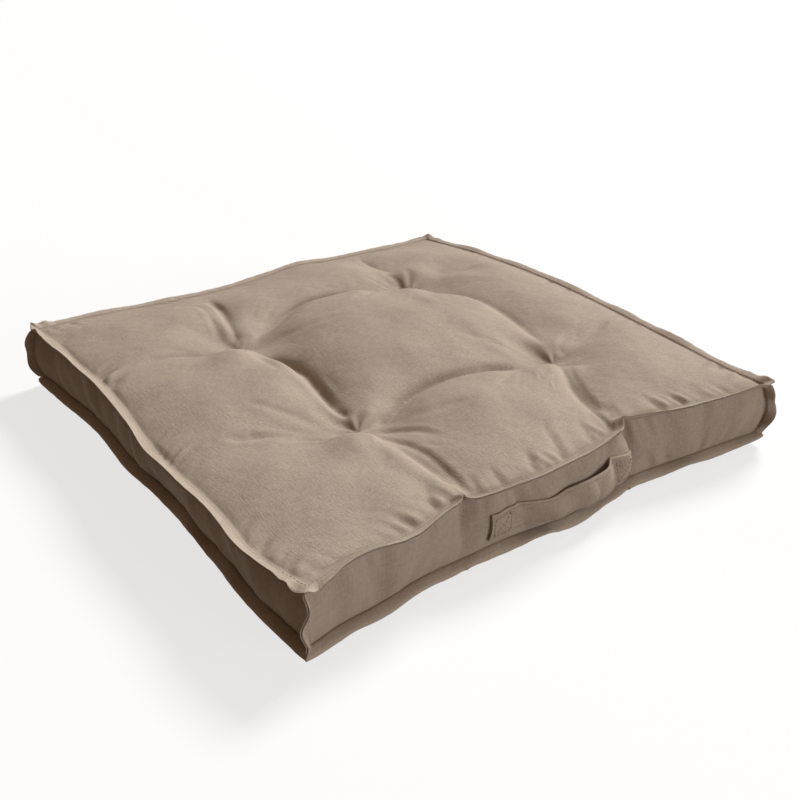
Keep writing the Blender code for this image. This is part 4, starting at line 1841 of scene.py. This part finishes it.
@dataclass
class CarryingStrap:
    """The flat strap on the front boxing: two sewn ends and a free middle.

    Attributes:
        cover: the finished cover.
        raised: how far it lies above its packed place, in metres.
        widened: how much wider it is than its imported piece, in metres.
        thickness: thickness of its two layers together, in metres.
        bow: how far the free part stands off the boxing towards the right, in metres.
        slack: how far the whole free part stands off, in metres.
        leaves_at: bow at which the free part has left the boxing's shape, in metres.
        gap: distance of its inner face from the boxing, in metres.
        drop: how far the free part hangs, in metres.
        curl: share of its width by which the free part curls down from its upper edge.
        stitch_line: place of the top stitching, from 0 in the middle to 1 at the edge.
        box_inset: distance of the box stitches from the ends of the sewn part, in metres.
        box_line: place of the box stitches across the strap, from 0 to 1.
    """

    cover: FinishedCover
    raised: float = 0.0022
    widened: float = 0.0022
    thickness: float = 0.0024
    bow: float = 0.0110
    slack: float = 0.0012
    leaves_at: float = 0.009
    gap: float = 0.0004
    drop: float = 0.0005
    curl: float = 0.18
    stitch_line: float = 0.80
    box_inset: float = 0.0035
    box_line: float = 0.66

    def __post_init__(self) -> None:
        """Reads the strap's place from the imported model."""
        left_low, left_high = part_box("handle_end_left")
        _, right_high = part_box("handle_end_right")
        self.start, self.end = left_low.x, right_high.x
        self.sewn = left_high.x - left_low.x
        self.level = (left_low.z + left_high.z) / 2 + self.raised
        self.width = left_high.z - left_low.z + self.widened
        self.front = self.cover.wall[:, : self.cover.cells + 1]
        self.columns = self.front[len(self.front) // 2, :, 0]

    def _boxing_at(self, x: np.ndarray, z: np.ndarray) -> np.ndarray:
        """Finds the face of the front boxing.

        Args:
            x: places along the boxing.
            z: their heights, in an array of the same shape.

        Returns:
            The boxing's y at each place.
        """
        at = np.interp(x, self.columns, np.arange(len(self.columns)))
        first = np.clip(at.astype(int), 0, len(self.columns) - 2)
        share = (at - first)[..., None]
        found = np.empty(x.shape)
        for place in np.ndindex(x.shape):
            c, s = first[place], share[place][0]
            line = (1 - s) * self.front[:, c] + s * self.front[:, c + 1]
            found[place] = np.interp(z[place], line[:, 2], line[:, 1])
        return found

    def surface(self, x: np.ndarray, across: np.ndarray, out: np.ndarray) -> np.ndarray:
        """Points on or in the strap.

        Args:
            x: places along the strap.
            across: places across it, from -1 at its lower edge to 1 at its upper edge.
            out: distance out from its inner face.

        Returns:
            Points.
        """
        free = (x - (self.start + self.sewn)) / (self.end - self.start - 2 * self.sewn)
        t = np.clip(2 * free - 1, -1, 1)
        lift = self.bow * smooth_step((t + 1.05) / 1.5) * (1 - np.maximum(t, 0) ** 5)
        lift = lift + self.slack * (1 - np.abs(t) ** 3)
        curl = self.curl * smooth_step((t + 1.0) / 0.9) * (1 - np.maximum(t, 0) ** 6)
        z = self.level + across * self.width / 2 - curl * (1 + across) * self.width / 2
        z = z - self.drop * (1 - t**2) + 0.0012 * np.sin(26 * x + 0.6)
        on_cloth = self._boxing_at(x, z)
        ends = np.array([self.start + self.sewn, self.end - self.sewn])
        sewn_y = self._boxing_at(ends, np.full(2, self.level))
        straight = np.interp(x, ends, sewn_y)
        k = smooth_step(lift / self.leaves_at)
        y = (1 - k) * on_cloth + k * np.minimum(straight, on_cloth + 0.001) - self.gap
        y = y - lift * (0.62 - 0.38 * across) - 0.010 * curl * (1 - across**2)
        y = y - 0.0007 * k * across * np.sin(38 * x + 1.1)
        return np.stack([x, y - out, z], axis=-1)

    def _half(
        self, name: str, start: float, end: float, finish: bpy.types.Material
    ) -> bpy.types.Object:
        """One half of the strap, as a band with rounded, folded edges.

        Args:
            name: the piece's name.
            start: where along x it starts.
            end: where along x it ends.
            finish: the cloth.

        Returns:
            The piece.
        """
        spread = np.linspace(-0.93, 0.93, 15)
        dip = 0.00028 * np.exp(-(((np.abs(spread) - 0.80) / 0.07) ** 2))
        swell = 0.00035 * (1 - spread**2)
        edge = np.array([0.25, 0.5, 0.75]) * math.pi
        high = np.stack([0.93 + 0.07 * np.sin(edge), 0.5 + 0.5 * np.cos(edge)], axis=1)
        loop = [(a, self.thickness - d + s) for a, d, s in zip(spread, dip, swell)]
        loop += [(a, b * self.thickness) for a, b in high]
        loop += [(a, 0.0) for a in spread[::-1]]
        loop += [(-a, b * self.thickness) for a, b in high[::-1]]
        loop = np.array(loop)
        stations = np.linspace(start, end, 80)
        x, across = np.meshgrid(stations, loop[:, 0], indexing="ij")
        out = np.broadcast_to(loop[:, 1], x.shape)
        points = self.surface(x, across, out)
        rows, around = x.shape
        closed = np.concatenate([points, points[:, :1]], axis=1)
        faces = grid_faces(rows, around)
        wrap = np.stack(
            [
                np.arange(rows - 1) * around + around - 1,
                np.arange(1, rows) * around + around - 1,
                np.arange(1, rows) * around,
                np.arange(rows - 1) * around,
            ],
            axis=1,
        )
        faces = np.concatenate([faces, wrap])
        count = len(spread)
        caps = []
        for row, order in ((0, 1), (rows - 1, -1)):
            outer = row * around + np.arange(count)
            inner = row * around + count + 3 + np.arange(count)[::-1]
            quads = np.stack([outer[:-1], inner[:-1], inner[1:], outer[1:]], axis=1)
            caps.append(quads[:, ::order])
        faces = np.concatenate([faces, *caps])[:, ::-1]
        girth = np.linalg.norm(np.diff(closed, axis=1), axis=2).cumsum(axis=1)
        girth = np.concatenate([np.zeros((rows, 1)), girth[:, :-1]], axis=1)
        cloth = np.stack([x, girth, 0 * x], axis=2)
        rubbed = np.clip((np.abs(across) - 0.9) / 0.08, 0, 1)
        return mesh_object(name, points, faces, finish, cloth, rubbed)

    def _edge_stitches(
        self, name: str, start: float, end: float, finish: bpy.types.Material
    ) -> bpy.types.Object:
        """Two rows of top stitching along one half of the strap.

        Args:
            name: the piece's name.
            start: where along x they start.
            end: where along x they end.
            finish: the thread.

        Returns:
            The piece.
        """
        stitching = Stitching()
        x = np.linspace(start, end, 60)
        normal = np.tile([0.0, -1.0, 0.0], (len(x), 1))
        rows = []
        for across in (-self.stitch_line, self.stitch_line):
            path = self.surface(x, np.full(len(x), across), np.full(len(x), self.thickness))
            rows.append(stitching.row(path, normal))
        return stitching.piece(name, rows, finish)

    def _box_stitches(
        self, name: str, start: float, finish: bpy.types.Material
    ) -> bpy.types.Object:
        """The box and cross that hold one end of the strap.

        Args:
            name: the piece's name.
            start: where along x the sewn part starts.
            finish: the thread.

        Returns:
            The piece.
        """
        stitching = Stitching(length=0.0028, gap=0.0008, radius=0.00048)
        left, right = start + self.box_inset, start + self.sewn - self.box_inset
        a = self.box_line
        corners = [(left, -a), (right, -a), (right, a), (left, a), (left, -a), (right, a)]
        legs = list(zip(corners, corners[1:])) + [((left, a), (right, -a))]
        rows = []
        for (x0, a0), (x1, a1) in legs:
            share = np.linspace(0, 1, 16)
            x, across = x0 + (x1 - x0) * share, a0 + (a1 - a0) * share
            path = self.surface(x, across, np.full(len(x), self.thickness + 0.0003))
            rows.append(stitching.row(path, np.tile([0.0, -1.0, 0.0], (len(x), 1))))
        return stitching.piece(name, rows, finish)

    def build(
        self, cloth: bpy.types.Material, thread: bpy.types.Material
    ) -> list[bpy.types.Object]:
        """Builds the strap and its stitches, and hangs the box stitches on the cushion's body.

        Args:
            cloth: the strap's cloth.
            thread: the sewing thread.

        Returns:
            The pieces.
        """
        middle = (self.start + self.end) / 2
        left_joint, right_joint = self.start + self.sewn, self.end - self.sewn
        halves = (
            ("left", self.start, middle, left_joint, ("handle_end_left", "handle_strap")),
            ("right", middle, self.end, right_joint, ("handle_end_right",)),
        )
        made = []
        for word, start, end, joint, nodes in halves:
            strap = self._half(f"strap_{word}", start, end, cloth)
            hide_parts(*nodes)
            stitches = self._edge_stitches(f"strap_edge_stitches_{word}", start, end, thread)
            for piece in (strap, stitches):
                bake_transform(piece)
            sewn_from = self.start if word == "left" else self.end - self.sewn
            box = self._box_stitches(f"strap_box_stitches_{word}", sewn_from, thread)
            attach(box, CUSHION_BODY)
            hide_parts(f"handle_stitch_{word}")
            made += [strap, stitches, box]
        return made


@dataclass
class FibreCore:
    """The filling inside the cover.

    Attributes:
        cover: the finished cover.
        clearance: distance of the filling from the cover, in metres.
        every: how many of the cover's cells one of its own spans.
        lump_height: height of the lumps in the fibre, in metres.
        dimple_depth: how much further a tuft presses it down, in metres.
        dimple_spread: how far such a dimple reaches, in metres.
        least_height: least thickness of the filling, in metres.
    """

    cover: FinishedCover
    clearance: float = 0.0063
    every: int = 4
    lump_height: float = 0.0008
    dimple_depth: float = 0.010
    dimple_spread: float = 0.026
    least_height: float = 0.004

    def build(self, finish: bpy.types.Material) -> bpy.types.Object:
        """Builds the filling as a closed form just inside the cover.

        Args:
            finish: the wadding.

        Returns:
            The piece.
        """
        plan, every = self.cover.filled.plan, self.every
        top, bottom = self.cover.top[::every, ::every], self.cover.bottom[::every, ::every]
        m = len(top) - 1
        top = top - grid_normals(top) * self.clearance
        bottom = bottom + grid_normals(bottom) * self.clearance
        shrink = 1 - self.clearance / plan.seam
        lumps = self.lump_height * Ripple(41, 0.02, 0.06, 16).over(top)
        top[..., 2] = top[..., 2] - np.abs(lumps)
        top[..., :2] *= shrink
        bottom[..., :2] *= shrink
        for x, y, _, _ in plan.tufts():
            away = np.hypot(top[..., 0] - x, top[..., 1] - y)
            top[..., 2] -= self.dimple_depth * np.exp(-((away / self.dimple_spread) ** 2))
        top[..., 2] = np.maximum(top[..., 2], bottom[..., 2] + self.least_height)
        ring = FilledCover.border(m)
        flat_ring = ring[:, 0] * (m + 1) + ring[:, 1]
        count = (m + 1) ** 2
        roof = grid_faces(m + 1, m + 1)
        wall = band(flat_ring + count, flat_ring)
        faces = np.concatenate([roof, roof[:, ::-1] + count, wall])
        points = np.concatenate([top.reshape(-1, 3), bottom.reshape(-1, 3)])
        piece = mesh_object("fibre_core", points, faces, finish)
        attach(piece, CUSHION_BODY)
        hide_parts("filling")
        return piece


def report(piece: bpy.types.Object) -> None:
    """Logs a piece that is ready."""
    LOG.info("%s: %d points", piece.name, len(piece.data.vertices))


def main() -> None:
    """Builds the cushion piece by piece."""
    logging.basicConfig(level=logging.INFO, format="%(name)s: %(message)s")
    Studio().set_up()
    plan = CushionPlan.from_frame()
    LOG.info("plan %s", plan)
    cover = FinishedCover(FilledCover(plan))
    cloth = WovenCloth("taupe_cloth", (0.400, 0.330, 0.268)).material()
    strap_cloth = WovenCloth("taupe_strap_cloth", (0.385, 0.315, 0.255)).material()
    thread = SpunThread("sewing_thread", (0.37, 0.30, 0.24), 0.0009).material()
    twine = SpunThread("tufting_twine", (0.33, 0.26, 0.20), 0.0022, 1500).material()
    boxings = [Boxing(cover, side) for side in Side]
    covering = {
        "top_panel": Panel(cover, Level.TOP).build(cloth),
        "bottom_panel": Panel(cover, Level.BOTTOM).build(cloth),
    }
    for boxing in boxings:
        covering[f"boxing_{boxing.side.name.lower()}"] = boxing.build(cloth)
    for node, piece in covering.items():
        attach(piece, CUSHION_BODY)
        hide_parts(node)
        report(piece)
    seams = SeamStitches(cover)
    sewn = {
        "top_seam_thread": seams.round_seam(Level.TOP, thread),
        "bottom_seam_thread": seams.round_seam(Level.BOTTOM, thread),
    }
    for corner, word in enumerate(CORNERS):
        sewn[f"corner_seam_thread_{word}"] = seams.up_corner(corner, thread, boxings)
    for node, piece in sewn.items():
        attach(piece, CUSHION_BODY)
        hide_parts(node)
        report(piece)
    for piece in CarryingStrap(cover).build(strap_cloth, thread):
        report(piece)
    report(FibreCore(cover).build(HollowFibre().material()))
    for name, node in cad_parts.items():
        node.data.materials.clear()
        node.data.materials.append(twine if name.startswith("tuft_tie_") else cloth)


if __name__ == "__main__":
    main()
